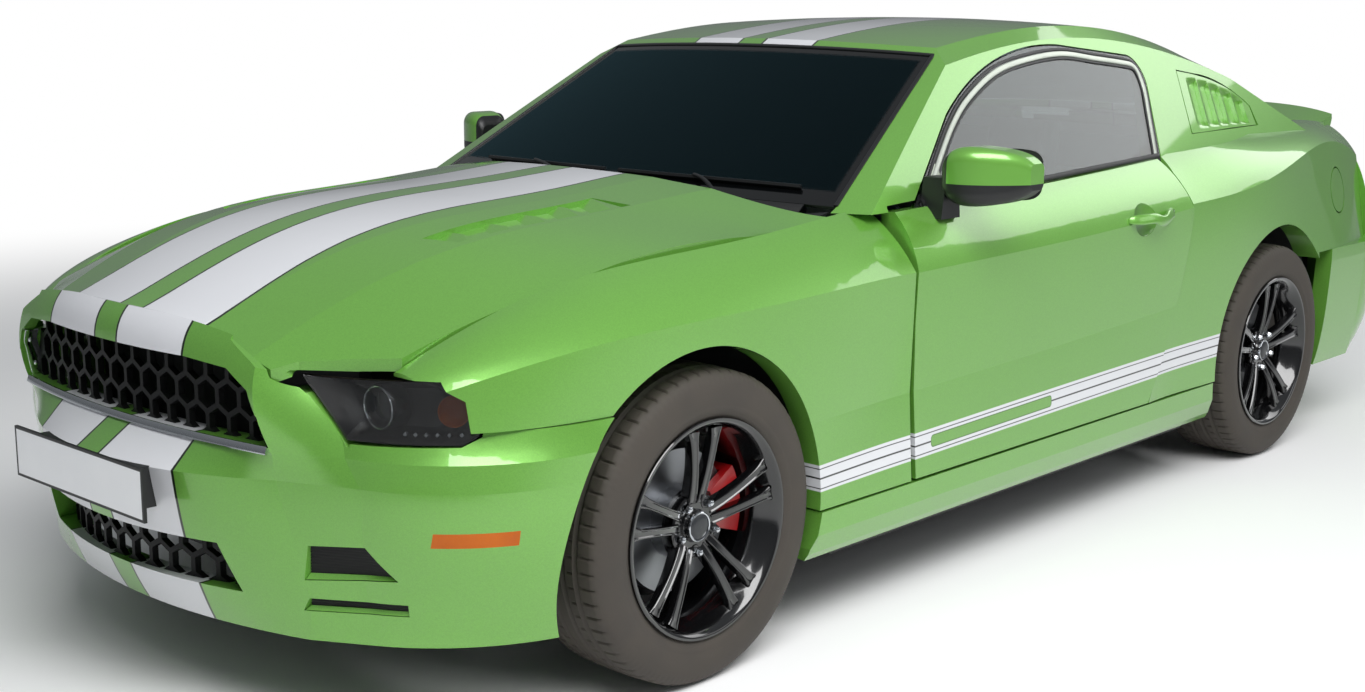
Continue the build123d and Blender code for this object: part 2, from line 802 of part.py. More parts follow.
def slat_plane_y(z):
    """Where the outer face of the glasshouse side stands at a height, less the slats' depth."""
    return side_low_y - side_lean * (z - shell_low_z) - 6


# ---------------------------------------------------------------- fuel filler
flap_x = -1814.0
flap_z = 828.0
flap_radius = 74.0
flap_thickness = 8.0
pocket_floor_y = 816.0


def make_fuel_pocket():
    """Round recess in the left quarter."""
    return cross_cylinder(flap_x, flap_z, flap_radius + panel_gap, pocket_floor_y, 960)


def make_fuel_flap(quarter):
    with BuildPart() as flap:
        add(quarter)
        add(quarter.moved(Location((0, -flap_thickness, 0))), mode=Mode.SUBTRACT)
        add(cross_cylinder(flap_x, flap_z, flap_radius, pocket_floor_y + 12, 960),
            mode=Mode.INTERSECT)
    return largest(flap.part)


# ---------------------------------------------------------------- lamps, markers, grilles
lamp_depth = 90.0
marker_depth = 12.0
grille_depth = 14.0
grille_set_back = 26.0
hex_pitch = 62.0
hex_bar = 11.0


def make_headlamps(nose, nose_deep, fender):
    with BuildPart() as lamp:
        add(nose)
        add(nose_deep, mode=Mode.SUBTRACT)
        add(front_zone(lamp_outline, 0, 1900, nose_x), mode=Mode.INTERSECT)
        add(fender, mode=Mode.SUBTRACT)
    return both_sides(largest(lamp.part))


def front_marker_room():
    return block(front_axle_x + 514, front_axle_x + 645, 700, 1000, 423, 453)


def make_front_markers(nose, nose_marker):
    with BuildPart() as marker:
        add(nose)
        add(nose_marker, mode=Mode.SUBTRACT)
        add(front_marker_room(), mode=Mode.INTERSECT)
    return both_sides(largest(marker.part))


def rear_marker_room():
    return block(tail_x + 250, tail_x + 350, 700, 1000, 452, 480)


def make_rear_markers(tail, tail_marker):
    with BuildPart() as marker:
        add(tail)
        add(tail_marker, mode=Mode.SUBTRACT)
        add(rear_marker_room(), mode=Mode.INTERSECT)
    return both_sides(largest(marker.part))


def honeycomb(middle_z, columns, rows, x_from, x_to):
    """Rows of hexagonal bars' gaps, staggered, as a block of prisms along X."""
    row_pitch = hex_pitch * sqrt(3) / 2
    with BuildPart() as cells:
        with BuildSketch(Plane.YZ.offset(x_from)):
            for row in range(rows):
                shift = hex_pitch / 2 if row % 2 else 0
                z = middle_z + (row - (rows - 1) / 2) * row_pitch
                with Locations(*[((k - (columns - 1) / 2) * hex_pitch + shift, z)
                                 for k in range(columns)]):
                    RegularPolygon((hex_pitch - hex_bar) / 2, 6, major_radius=False,
                                   rotation=30)
        extrude(amount=x_to - x_from)
    return cells.part


def grille_band(middle_x, corner_x, corner_y, z_from, z_to):
    """An upright plate bowed in plan, for a grille to be cut from."""
    with BuildPart() as band:
        with BuildSketch(Plane.XY.offset(z_from)):
            with BuildLine():
                ThreePointArc((corner_x, -corner_y), (middle_x, 0), (corner_x, corner_y))
                Line((corner_x, corner_y), (corner_x - grille_depth, corner_y))
                ThreePointArc((corner_x - grille_depth, corner_y), (middle_x - grille_depth, 0),
                              (corner_x - grille_depth, -corner_y))
                Line((corner_x - grille_depth, -corner_y), (corner_x, -corner_y))
            make_face()
        extrude(amount=z_to - z_from)
    return band.part


def make_grilles(fog_backing):
    """Upper and lower honeycomb and the meshes of the fog recesses and slots."""
    with BuildPart() as upper:
        add(grille_band(nose_x - 122, nose_x - 176, 484, 590, 770))
        add(front_zone(grille_outline, 0, 1900, nose_x), mode=Mode.INTERSECT)
        add(honeycomb(676, 15, 3, 1900, nose_x), mode=Mode.SUBTRACT)
    with BuildPart() as lower:
        add(grille_band(nose_x - 100, nose_x - 190, 380, 280, 395))
        add(front_zone(intake_outline, 0, 1900, nose_x), mode=Mode.INTERSECT)
        add(honeycomb(338, 11, 2, 1900, nose_x), mode=Mode.SUBTRACT)
    with BuildPart() as fog:
        add(fog_backing)
        add(front_zone(fog_outline, 0, 1900, nose_x), mode=Mode.INTERSECT)
    with BuildPart() as slot:
        add(fog_backing)
        add(front_zone(slot_outline, 0, 1900, nose_x), mode=Mode.INTERSECT)
    with BuildPart() as all_grilles:
        add(largest(upper.part))
        add(largest(lower.part))
        add(both_sides(largest(fog.part)))
        add(both_sides(largest(slot.part)))
    return all_grilles.part


def make_tail_lamps(tail, tail_deep):
    """Three upright segments each side, one behind common seams."""
    segments = 3
    span = (790 - 440) / segments
    with BuildPart() as lamp:
        add(tail)
        add(tail_deep, mode=Mode.SUBTRACT)
        add(front_zone(tail_lamp_outline, 0, tail_x - 10, quarter_end_x), mode=Mode.INTERSECT)
        for k in range(1, segments):
            y = 440 + k * span
            add(block(tail_x - 10, tail_x + 172, y - 7, y + 7, 690, 890), mode=Mode.SUBTRACT)
    return both_sides(largest(lamp.part))


def make_tail_panel(tail, tail_inner):
    with BuildPart() as panel:
        add(tail)
        add(tail_inner, mode=Mode.SUBTRACT)
        add(block(tail_x - 10, quarter_end_x, -1000, 1000, rear_seam_z, 1100),
            mode=Mode.INTERSECT)
        add(lid_zone(panel_gap), mode=Mode.SUBTRACT)
        add(both_sides(front_zone(tail_lamp_outline, 0, tail_x - 10, tail_x + 700)),
            mode=Mode.SUBTRACT)
    return largest(panel.part)


exhaust_y = 520.0
exhaust_z = 250.0
exhaust_tip_radius = 42.0
pipe_y = 215.0
pipe_z = 136.0
pipe_radius = 25.0


def make_rear_bumper(tail, tail_inner, markers):
    with BuildPart() as cover:
        add(tail)
        add(tail_inner, mode=Mode.SUBTRACT)
        add(block(tail_x - 10, tail_x + 700, -1000, 1000, 0, rear_seam_z), mode=Mode.INTERSECT)
        add(both_sides(arch_cut(rear_axle_x, 8, rear_arch_radius)), mode=Mode.SUBTRACT)
        for y in (-exhaust_y, exhaust_y):
            add(block(tail_x - 10, tail_x + 300, y - 62, y + 62, 200, exhaust_z + 60),
                mode=Mode.SUBTRACT)
        add(markers, mode=Mode.SUBTRACT)
    return cover.part


def make_sill_mouldings():
    with BuildPart() as sill:
        with BuildSketch(Plane.YZ.offset(rear_axle_x + 380)):
            with BuildLine():
                Polyline((842, sill_top_z), (842, 192), (872, 188), (884, 205), (904, 252),
                         (907, sill_top_z), (842, sill_top_z))
            make_face()
        extrude(amount=front_axle_x - rear_axle_x - 730)
        add(arch_cut(front_axle_x, front_arch_shift, front_arch_radius + 4), mode=Mode.SUBTRACT)
        add(arch_cut(rear_axle_x, 8, rear_arch_radius + 4), mode=Mode.SUBTRACT)
    return both_sides(largest(sill.part))


plate_width = 520.0
plate_height = 110.0
plate_z = 489.0
plate_y = 0.0
plate_thickness = 7.0
holder_inset = 55.0       # holder shorter than the plate at each end


def make_number_plate(nose):
    """Front plate on its holder, seated on the bumper cover."""
    half_y, half_z = plate_width / 2, plate_height / 2
    with BuildPart() as plate:
        add(block(nose_x - 90, nose_x - plate_thickness, plate_y - half_y + holder_inset,
                  plate_y + half_y - holder_inset, plate_z - half_z + 12, plate_z + half_z - 12))
        add(block(nose_x - plate_thickness, nose_x, plate_y - half_y, plate_y + half_y,
                  plate_z - half_z, plate_z + half_z))
        add(nose, mode=Mode.SUBTRACT)
    return largest(plate.part)


def make_wiper_cowl(hood_room, pane, side_frame, fender):
    """Black trough between the hood's rear edge and the windscreen."""
    with BuildPart() as cowl:
        with BuildSketch(Plane.XZ.offset(-712)):
            with BuildLine():
                Polyline((776, 900), (1040, 900), (1040, 935), (900, 942), (776, 966),
                         (776, 900))
            make_face()
        extrude(amount=2 * 712)
        add(glasshouse(glass_thickness), mode=Mode.SUBTRACT)
        add(pane, mode=Mode.SUBTRACT)
        add(side_frame, mode=Mode.SUBTRACT)
        add(mirror(side_frame, about=Plane.XZ), mode=Mode.SUBTRACT)
        add(both_sides(fender), mode=Mode.SUBTRACT)
        add(hood_room, mode=Mode.SUBTRACT)
    return largest(cowl.part)


mirror_z = 1036.0
# Mirror shell stations: y, x of the middle, half depth, half height.
mirror_rows = (
    (850, 520, 36, 34),
    (884, 506, 62, 68),
    (950, 484, 62, 70),
    (1004, 446, 50, 56),
    (1034, 420, 30, 32),
)


def make_mirror(door, pane):
    """Door mirror: a foot at the front corner of the glass and a swept shell, cut flat behind."""
    with BuildPart() as shell:
        for y, x, half_x, half_z in mirror_rows:
            with BuildSketch(Plane(origin=(x, y, mirror_z), x_dir=(1, 0, 0), z_dir=(0, 1, 0))):
                RectangleRounded(2 * half_x, 2 * half_z, 0.55 * half_x)
        loft()
        add(plan_prism(((300, 830), (466, 830), (372, 1060), (300, 1060)), 900, 1200),
            mode=Mode.SUBTRACT)
        add(side_prism(((490, 930), (570, 930), (556, 1030), (500, 1030)), 796, 862))
        add(door, mode=Mode.SUBTRACT)
        add(glasshouse(0), mode=Mode.SUBTRACT)
    return largest(shell.part)


# ---------------------------------------------------------------- floor and structure
sill_box_y = (755.0, 838.0)
tunnel_half = 150.0
tunnel_top_z = 410.0
tunnel_wall = 22.0
tunnel_front_x = 950.0
tunnel_rear_x = -1000.0
firewall_x = 950.0
firewall_top_z = 900.0
seat_pan_x = (-1000.0, -480.0)
seat_pan_z = 330.0
rear_floor_z = 455.0
trunk_floor_z = 360.0
wheelhouse_radius = 446.0
wheelhouse_wall = 14.0
front_house_inner_y = 452.0
rear_house_inner_y = 640.0
rail_half_y = (352.0, 440.0)   # front rails, inner and outer face
rail_z = (300.0, 410.0)
beam_x = 2105.0
strut_top_z = 780.0
gauge_hole_x = 300.0       # blind hole under the left sill for the pin of a lift adapter
gauge_hole_radius = 12.0
gauge_hole_depth = 40.0


def wheelhouse(axle_x, y_inner, y_outer, low_z):
    """Arched liner over a wheel with its inner wall, cut off at low_z."""
    with BuildPart() as liner:
        add(cross_cylinder(axle_x, arch_z, wheelhouse_radius + wheelhouse_wall, y_inner, y_outer))
        add(cross_cylinder(axle_x, arch_z, wheelhouse_radius, y_inner + wheelhouse_wall,
                           y_outer + 10), mode=Mode.SUBTRACT)
        add(block(axle_x - 600, axle_x + 600, y_inner - 10, y_outer + 10, -200, low_z),
            mode=Mode.SUBTRACT)
    return liner.part


def make_floor_pan():
    """Floor, sills, seat pans and tunnel between the firewall and the rear seat."""
    with BuildPart() as pan:
        add(block(seat_pan_x[1], firewall_x, -760, 760, ride_floor_z, floor_top_z))
        add(block(*seat_pan_x, -640, 640, seat_pan_z, seat_pan_z + 25))
        add(block(seat_pan_x[1], seat_pan_x[1] + 25, -760, 760, ride_floor_z, seat_pan_z + 25))
        add(both_sides(block(rear_axle_x + 480, tunnel_front_x, *sill_box_y, ride_floor_z, 298)))
        add(both_sides(block(rear_axle_x + 480, seat_pan_x[1], 630, 760, seat_pan_z,
                             seat_pan_z + 25)))
        add(block(seat_pan_x[0], tunnel_front_x, -tunnel_half, tunnel_half, ride_floor_z,
                  tunnel_top_z))
        add(tunnel_room(), mode=Mode.SUBTRACT)
        with Locations(Plane(origin=(gauge_hole_x, sum(sill_box_y) / 2, ride_floor_z),
                             z_dir=(0, 0, -1))):
            Hole(gauge_hole_radius, depth=gauge_hole_depth)
    return pan.part


def tunnel_room():
    """The room under the tunnel for the propeller shaft and the exhaust."""
    inner = tunnel_half - tunnel_wall
    return block(tunnel_rear_x - 300, firewall_x + 60, -inner, inner, 0,
                 tunnel_top_z - tunnel_wall)


def make_front_structure(floor_pan):
    """Firewall, front wheelhouses with strut towers, rails and cross beams."""
    with BuildPart() as half:
        add(block(745, 800, 690, 775, floor_top_z, 860))
        add(block(745, 800, 690, 738, 850, belt_z - 20))
        add(wheelhouse(front_axle_x, front_house_inner_y, 765, 420))
        add(cylinder_between((front_axle_x, strut_y, strut_top_z),
                             (front_axle_x, strut_y, strut_top_z + 50), strut_radius + 10))
        add(block(firewall_x, beam_x, *rail_half_y, *rail_z))
        add(block(firewall_x, front_axle_x, rail_half_y[1] - 5, front_house_inner_y + 5,
                  rail_z[1] - 60, 700))
        add(block(beam_x - 40, beam_x + 10, *rail_half_y, rail_z[0], 520))
    with BuildPart() as front:
        add(block(firewall_x, firewall_x + 25, -700, 700, ride_floor_z, firewall_top_z))
        add(block(780, firewall_x + 25, -705, 705, firewall_top_z - 27, firewall_top_z))
        add(both_sides(half.part))
        add(block(beam_x, beam_x + 50, -380, 380, 425, 520))
        add(block(beam_x - 90, beam_x - 60, -500, 500, 230, 760))
        add(tunnel_room(), mode=Mode.SUBTRACT)
        add(floor_pan, mode=Mode.SUBTRACT)
    return front.part


def make_rear_structure(floor_pan):
    """Rear floor, trunk floor, rear wheelhouses, bulkhead and parcel shelf."""
    with BuildPart() as half:
        add(wheelhouse(rear_axle_x, rear_house_inner_y, 815, 420))
        add(block(tail_x + 160, rear_axle_x - 330, 470, 545, trunk_floor_z - 60, trunk_floor_z + 5))
        add(block(rear_axle_x - 340, seat_pan_x[0], 470, 545, rear_floor_z - 55, rear_floor_z + 5))
        add(block(seat_pan_x[0] - 40, seat_pan_x[0], 500, 640, seat_pan_z, rear_floor_z + 5))
    with BuildPart() as rear:
        add(block(seat_pan_x[0] - 25, seat_pan_x[0], -650, 650, seat_pan_z, rear_floor_z + 25))
        add(block(rear_axle_x - 330, seat_pan_x[0], -650, 650, rear_floor_z, rear_floor_z + 25))
        add(block(rear_axle_x - 355, rear_axle_x - 330, -650, 650, trunk_floor_z, rear_floor_z + 25))
        add(block(tail_x + 160, rear_axle_x - 330, -590, 590, trunk_floor_z, trunk_floor_z + 25))
        add(block(-2090, rear_axle_x - wheelhouse_radius - 6, -730, 730, trunk_floor_z,
                  trunk_floor_z + 25))
        add(block(tail_x + 150, tail_x + 175, -590, 590, trunk_floor_z, 595))
        add(block(-1290, -1265, -640, 640, rear_floor_z, 1000))
        add(block(-1690, -1265, -620, 620, 985, 1005))
        add(both_sides(half.part))
        add(tunnel_room(), mode=Mode.SUBTRACT)
        add(floor_pan, mode=Mode.SUBTRACT)
    return rear.part


# ---------------------------------------------------------------- running gear
kingpin_y = 700.0
strut_y = 560.0
strut_radius = 54.0
spindle_radius = 29.0
spindle_gap = 1.0
arm_z = (168.0, 192.0)
ball_z = 199.0


def make_front_subframe():
    """Crossmember, lower arms with ball joint bosses, and the spring struts."""
    with BuildPart() as half:
        add(plan_prism(((front_axle_x - 150, 300), (front_axle_x + 120, 300),
                        (front_axle_x + 30, kingpin_y - 10), (front_axle_x - 30, kingpin_y - 10)),
                       *arm_z))
        add(cylinder_between((front_axle_x, kingpin_y, arm_z[0] - 4),
                             (front_axle_x, kingpin_y, ball_z), 30))
        add(cylinder_between((front_axle_x, strut_y, 420), (front_axle_x, strut_y, strut_top_z),
                             strut_radius))
        add(cylinder_between((front_axle_x, strut_y, arm_z[0]), (front_axle_x, strut_y, 430), 26))
    with BuildPart() as subframe:
        add(block(front_axle_x - 170, front_axle_x + 140, -370, 370, arm_z[0], 262))
        add(both_sides(half.part))
        for y in (-400, 400):
            add(block(front_axle_x - 60, front_axle_x + 60, y - 40, y + 40, 250, rail_z[0]))
    return subframe.part


def make_knuckle():
    """Left upright with its stub axle, ball joint lug and strut clamp."""
    centre_y = track_front / 2
    with BuildPart() as knuckle:
        add(cross_cylinder(front_axle_x, wheel_z, 50, centre_y - 100, centre_y - 52))
        add(cross_cylinder(front_axle_x, wheel_z, spindle_radius, centre_y - 60, centre_y + 28))
        add(cylinder_between((front_axle_x, kingpin_y, ball_z), (front_axle_x, kingpin_y, 240),
                             18))
        add(block(front_axle_x - 22, front_axle_x + 22, kingpin_y - 18, kingpin_y + 18, 225,
                  wheel_z))
        add(block(front_axle_x - 20, front_axle_x + 20, 632, kingpin_y + 10, wheel_z, 390))
        add(block(front_axle_x - 20, front_axle_x + 20, 632, 654, wheel_z, 600))
    return knuckle.part


def make_caliper(axle_x, centre_y, behind):
    """Brake caliper straddling the disc, on the rear side of the wheel."""
    inner_r, outer_r = 98, 184
    half_disc = brake_disc_thickness / 2 + 4
    disc_y = centre_y - 4
    with BuildPart() as caliper:
        add(cross_cylinder(axle_x, wheel_z, outer_r, disc_y - 52, disc_y + 38))
        add(cross_cylinder(axle_x, wheel_z, inner_r, disc_y - 60, disc_y + 50),
            mode=Mode.SUBTRACT)
        add(side_prism(((axle_x, wheel_z), (axle_x - 400 * behind, wheel_z - 130),
                        (axle_x - 400 * behind, wheel_z + 250)), disc_y - 60, disc_y + 60),
            mode=Mode.INTERSECT)
        add(cross_cylinder(axle_x, wheel_z, brake_disc_radius + 5, disc_y - half_disc,
                           disc_y + half_disc), mode=Mode.SUBTRACT)
        add(block(axle_x - 120 * behind, axle_x - 20 * behind, centre_y - 100, disc_y - 30,
                  wheel_z - 18, wheel_z + 18) if behind > 0 else
            block(axle_x + 20, axle_x + 120, centre_y - 100, disc_y - 30, wheel_z - 18,
                  wheel_z + 18))
    return caliper.part


def make_rear_axle():
    """Live axle with its final drive, stub ends, springs and calipers."""
    centre_y = track_rear / 2
    with BuildPart() as half:
        add(cross_cylinder(rear_axle_x, wheel_z, 38, 0, centre_y - 60))
        add(cross_cylinder(rear_axle_x, wheel_z, spindle_radius, centre_y - 70, centre_y + 28))
        add(cross_cylinder(rear_axle_x, wheel_z, 62, centre_y - 100, centre_y - 60))
        add(cylinder_between((rear_axle_x, 405, wheel_z), (rear_axle_x, 405, rear_floor_z), 50))
        add(make_caliper(rear_axle_x, centre_y, 1))
    with BuildPart() as axle:
        add(both_sides(half.part))
        with Locations((rear_axle_x, 0, wheel_z)):
            Sphere(92)
        with BuildSketch(Plane.YZ.offset(rear_axle_x)):
            with Locations((0, wheel_z)):
                Circle(70)
        extrude(amount=190, taper=8)
    return axle.part


# Tyre section: distance outboard of the wheel's middle, radius.
tyre_profile = (
    (-98.5, bead_radius),
    (98.5, bead_radius),
    (tyre_width / 2, 300),
    (99, tyre_radius),
    (-110, tyre_radius),
)


def make_tyre(x, centre_y):
    """Road tyre: bead, bulged outer wall, shoulder and crown, in few faces."""
    with BuildPart() as tyre:
        with BuildSketch(Plane.YZ.offset(x)):
            with BuildLine():
                Polyline(*[(centre_y + y, wheel_z + r) for y, r in tyre_profile], close=True)
            make_face()
        revolve(axis=Axis((x, 0, wheel_z), (0, 1, 0)))
    return tyre.part


spoke_pairs = 5
spoke_root_radius = 58.0
spoke_tip_radius = 216.0


def make_rim(x, centre_y):
    """Five pairs of tapered spokes from a bolted hub out to a drop-centre barrel."""
    half = rim_width / 2
    face_y = centre_y + rim_offset
    with BuildPart() as rim:
        with BuildSketch(Plane.YZ.offset(x)):
            with BuildLine():
                profile = ((half - 9, rim_lip_radius), (half, rim_lip_radius), (half, 233),
                           (half - 8, 224), (84, 214), (66, 204), (40, 196), (-52, 196),
                           (-88, 212), (-half + 4, 224), (-half, 233), (-half, rim_lip_radius),
                           (-half + 9, rim_lip_radius), (-half + 9, bead_radius),
                           (-78, bead_radius - 6), (-46, 206), (38, 206), (62, 214),
                           (76, bead_radius - 4), (half - 9, bead_radius))
                Polyline(*[(centre_y + y, wheel_z + r) for y, r in profile], close=True)
            make_face()
        revolve(axis=Axis((x, 0, wheel_z), (0, 1, 0)))
        add(cross_cylinder(x, wheel_z, hub_radius, face_y, face_y + 30))
        for k in range(spoke_pairs):
            middle = 90 + 360 / spoke_pairs * k
            for side in (-1, 1):
                add(spoke(x, face_y, middle, side))
        for k in range(5):
            angle = radians(54 + 72 * k)
            add(cross_cylinder(x + 57 * cos(angle), wheel_z + 57 * sin(angle), 11, face_y + 20,
                               face_y + 30), mode=Mode.SUBTRACT)
            add(cross_cylinder(x + 57 * cos(angle), wheel_z + 57 * sin(angle), 9, face_y + 20,
                               face_y + 34))
        add(cross_cylinder(x, wheel_z, 31, face_y + 20, face_y + 38))
    return rim.part


def spoke(x, face_y, middle, side):
    """One bar of a pair: thick at the hub, thinner and further out at the barrel."""
    radial = Vector(cos(radians(middle)), 0, sin(radians(middle)))
    across = Vector(-sin(radians(middle)), 0, cos(radians(middle)))
    centre = Vector(x, face_y, wheel_z)
    with BuildPart() as bar:
        for radius, offset, width, low, high in ((spoke_root_radius, 17, 27, 0, 32),
                                                 (spoke_tip_radius * 0.6, 27, 25, 16, 46),
                                                 (spoke_tip_radius, 40, 24, 38, 56)):
            origin = centre + radial * radius + across * (side * offset)
            origin += Vector(0, (low + high) / 2, 0)
            with BuildSketch(Plane(origin=origin, x_dir=across, z_dir=radial)):
                Rectangle(width, high - low)
        loft(ruled=True)
    return bar.part


def make_brake_disc(x, centre_y):
    disc_y = centre_y - 4
    half = brake_disc_thickness / 2
    with BuildPart() as disc:
        add(cross_cylinder(x, wheel_z, brake_disc_radius, disc_y - half, disc_y + half))
        add(cross_cylinder(x, wheel_z, 80, disc_y, centre_y + rim_offset))
        add(cross_cylinder(x, wheel_z, 68, disc_y - half - 5, centre_y + rim_offset - 8),
            mode=Mode.SUBTRACT)
        add(cross_cylinder(x, wheel_z, spindle_radius + 14, centre_y - 20,
                           centre_y + rim_offset - 4))
        add(cross_cylinder(x, wheel_z, spindle_radius + spindle_gap, centre_y - 60,
                           centre_y + 30), mode=Mode.SUBTRACT)
    return disc.part


# ---------------------------------------------------------------- drive line and underside
def make_powertrain():
    """Engine as one plain block, gearbox and propeller shaft."""
    with BuildPart() as train:
        add(block(1060, 1740, -300, 300, 272, 830))
        add(front_prism(((-105, 235), (105, 235), (105, 330), (70, 372), (-70, 372), (-105, 330)),
                        380, 1070))
        with BuildSketch(Plane.YZ.offset(rear_axle_x + 190)):
            with Locations((0, 318)):
                Circle(36)
        extrude(amount=380 - rear_axle_x - 185)
    return train.part


def make_exhaust():
    """Two pipes under the floor to a silencer and a round tip on each side."""
    with BuildPart() as half:
        add(cylinder_between((1050, pipe_y, pipe_z), (-1440, pipe_y, pipe_z), pipe_radius))
        add(cylinder_between((-1425, pipe_y, pipe_z), (-1730, exhaust_y - 60, 240), pipe_radius))
        add(block(tail_x + 200, -1690, exhaust_y - 170, exhaust_y + 60, 195, 296))
        add(cross_tip())
    return both_sides(half.part)


def cross_tip():
    """Round tailpipe tip along X, open at its end."""
    with BuildPart() as tip:
        with BuildSketch(Plane.YZ.offset(tail_x + 12)):
            with Locations((exhaust_y, exhaust_z)):
                Circle(exhaust_tip_radius)
        extrude(amount=220)
        with BuildSketch(Plane.YZ.offset(tail_x + 12)):
            with Locations((exhaust_y, exhaust_z)):
                Circle(exhaust_tip_radius - 4)
        extrude(amount=120, mode=Mode.SUBTRACT)
    return tip.part


def make_fuel_tank():
    """Saddle tank under the rear seat, bridged over the propeller shaft."""
    with BuildPart() as tank:
        add(block(seat_pan_x[0] + 40, seat_pan_x[1] - 20, -640, 640, 200, seat_pan_z))
        fillet(tank.edges().filter_by(Axis.X), 30)
        add(block(*seat_pan_x, -tunnel_half - 10, tunnel_half + 10, 190, 366), mode=Mode.SUBTRACT)
    return tank.part


# ---------------------------------------------------------------- cabin
steering_centre = (262.0, 372.0, 812.0)
steering_tilt = 24.0
steering_radius = 186.0


def make_dashboard():
    with BuildPart() as dash:
        with BuildSketch(Plane.XZ.offset(-690)):
            with BuildLine():
                Polyline((949, 600), (949, 868), (800, 868), (540, 905), (470, 880))
                ThreePointArc((470, 880), (452, 830), (500, 760))
                Polyline((500, 760), (560, 640), (700, 600), (949, 600))
            make_face()
        extrude(amount=2 * 690)
        add(block(-330, 640, -115, 115, tunnel_top_z, 560))
        add(block(330, 560, -150, 150, tunnel_top_z, 700))
        add(block(745, 800, 690, 815, 0, 1000), mode=Mode.SUBTRACT)
        column = Vector(cos(radians(steering_tilt)), 0, -sin(radians(steering_tilt)))
        centre = Vector(*steering_centre)
        start = centre + column * 36
        end = centre + column * 330
        add(cylinder_between(tuple(start), tuple(end), 34))
    return dash.part


def make_steering_wheel():
    axis = Vector(-cos(radians(steering_tilt)), 0, sin(radians(steering_tilt)))
    plane = Plane(origin=steering_centre, x_dir=(0, 1, 0), z_dir=tuple(axis))
    with BuildPart(plane) as wheel:
        Torus(steering_radius, 15)
        Cylinder(58, 34)
        for angle in (0, 180, 90 if plane.y_dir.Z < 0 else 270):
            with Locations(Rotation(0, 0, angle)):
                with Locations((steering_radius / 2 + 15, 0, 0)):
                    Box(steering_radius - 30, 34, 12)
        with Locations((0, 0, -26)):
            Cylinder(24, 20)
    return wheel.part


def seat(x, y, width, back_top):
    """One front seat: base, cushion, leaning back and head restraint."""
    with BuildPart() as chair:
        add(block(x - 480, x - 60, y - width / 2 + 60, y + width / 2 - 60, floor_top_z, 340))
        add(side_prism(((x - 520, 335), (x, 350), (x + 14, 440), (x - 20, 478), (x - 480, 445)),
                       y - width / 2, y + width / 2))
        add(side_prism(((x - 520, 340), (x - 400, 430), (x - 560, 840), (x - 615, back_top),
                        (x - 700, back_top), (x - 680, 700)), y - width / 2 + 10,
                       y + width / 2 - 10))
        add(side_prism(((x - 605, back_top - 40), (x - 600, back_top + 170),
                        (x - 660, back_top + 190), (x - 705, back_top + 150),
                        (x - 690, back_top - 40)), y - 120, y + 120))
    return chair.part


def make_seats():
    """Two front seats and the rear bench on the seat pan."""
    pan_top = seat_pan_z + 25
    with BuildPart() as seats:
        add(seat(85, 372, 430, 920))
        add(seat(85, -372, 430, 920))
        add(side_prism(((-998, pan_top), (-640, pan_top), (-600, 500), (-640, 540),
                        (-1000, 500), (-1110, 900), (-1200, 930), (-1240, 900),
                        (-1200, rear_floor_z + 25), (-998, rear_floor_z + 25)), -600, 600))
        add(block(-1100, -500, -tunnel_half, tunnel_half, 0, tunnel_top_z), mode=Mode.SUBTRACT)
    return seats.part


# ---------------------------------------------------------------- build and write
def write_body():
    """Body panels, glass, lamps and trim."""
    nose = {depth: end_form(nose_low_rows, nose_high_rows, nose_x, depth)
            for depth in (0, marker_depth, grille_set_back, cover_wall, lamp_depth)}
    tail = {depth: end_form(tail_low_rows, tail_high_rows, tail_x, depth)
            for depth in (0, marker_depth, cover_wall)}
    house = glasshouse(0)
    shell = house - glasshouse(roof_wall)
    pane = house - glasshouse(glass_thickness)

    fender = make_fender()
    save_pair(fender, "fender")
    front_markers = make_front_markers(nose[0], nose[marker_depth])
    save(front_markers, "side_markers_front")
    with BuildPart() as front_bumper:
        add(make_front_bumper(nose[0], nose[cover_wall]))
        add(front_markers, mode=Mode.SUBTRACT)
    save(front_bumper.part, "front_bumper")
    save(make_headlamps(nose[0], nose[lamp_depth], fender), "headlamps")
    save(make_grilles(nose[grille_set_back] - nose[cover_wall]), "grilles")
    save(make_number_plate(nose[0]), "number_plate")
    save(make_hood(), "hood")

    frame = make_side_frame(shell, fender)
    with BuildPart() as frame_left:
        add(frame)
        add(make_fuel_pocket(), mode=Mode.SUBTRACT)
        add(cross_cylinder(flap_x, flap_z, 26, pocket_floor_y - 4, pocket_floor_y + 14))
    save(frame_left.part, "side_frame_left")
    with BuildPart() as frame_right:
        add(mirror(frame, about=Plane.XZ))
    save(frame_right.part, "side_frame_right")
    save(make_fuel_flap(frame), "fuel_flap")
    save(make_roof(shell), "roof")
    save(make_windshield(pane), "windshield")
    save(make_rear_window(pane), "rear_window")
    save(make_louvres(shell), "quarter_louvres")
    door = make_door()
    door_glass = make_door_glass(pane, door)
    save_pair(door, "door")
    save_pair(door_glass, "door_glass")
    save_pair(make_mirror(door, pane), "mirror")
    save(make_sill_mouldings(), "sill_mouldings")
    hood_room = plan_zone(hood_outline, panel_gap, 500, 1200)
    save(make_wiper_cowl(hood_room, pane, frame, fender), "wiper_cowl")

    lid = make_trunk_lid(tail[0], tail[cover_wall])
    save(lid, "trunk_lid")
    save(make_spoiler(lid), "spoiler")
    save(make_tail_lamps(tail[0], tail[cover_wall]), "tail_lamps")
    rear_markers = make_rear_markers(tail[0], tail[marker_depth])
    save(rear_markers, "side_markers_rear")
    save(make_tail_panel(tail[0], tail[cover_wall]), "tail_panel")
    save(make_rear_bumper(tail[0], tail[cover_wall], rear_markers), "rear_bumper")


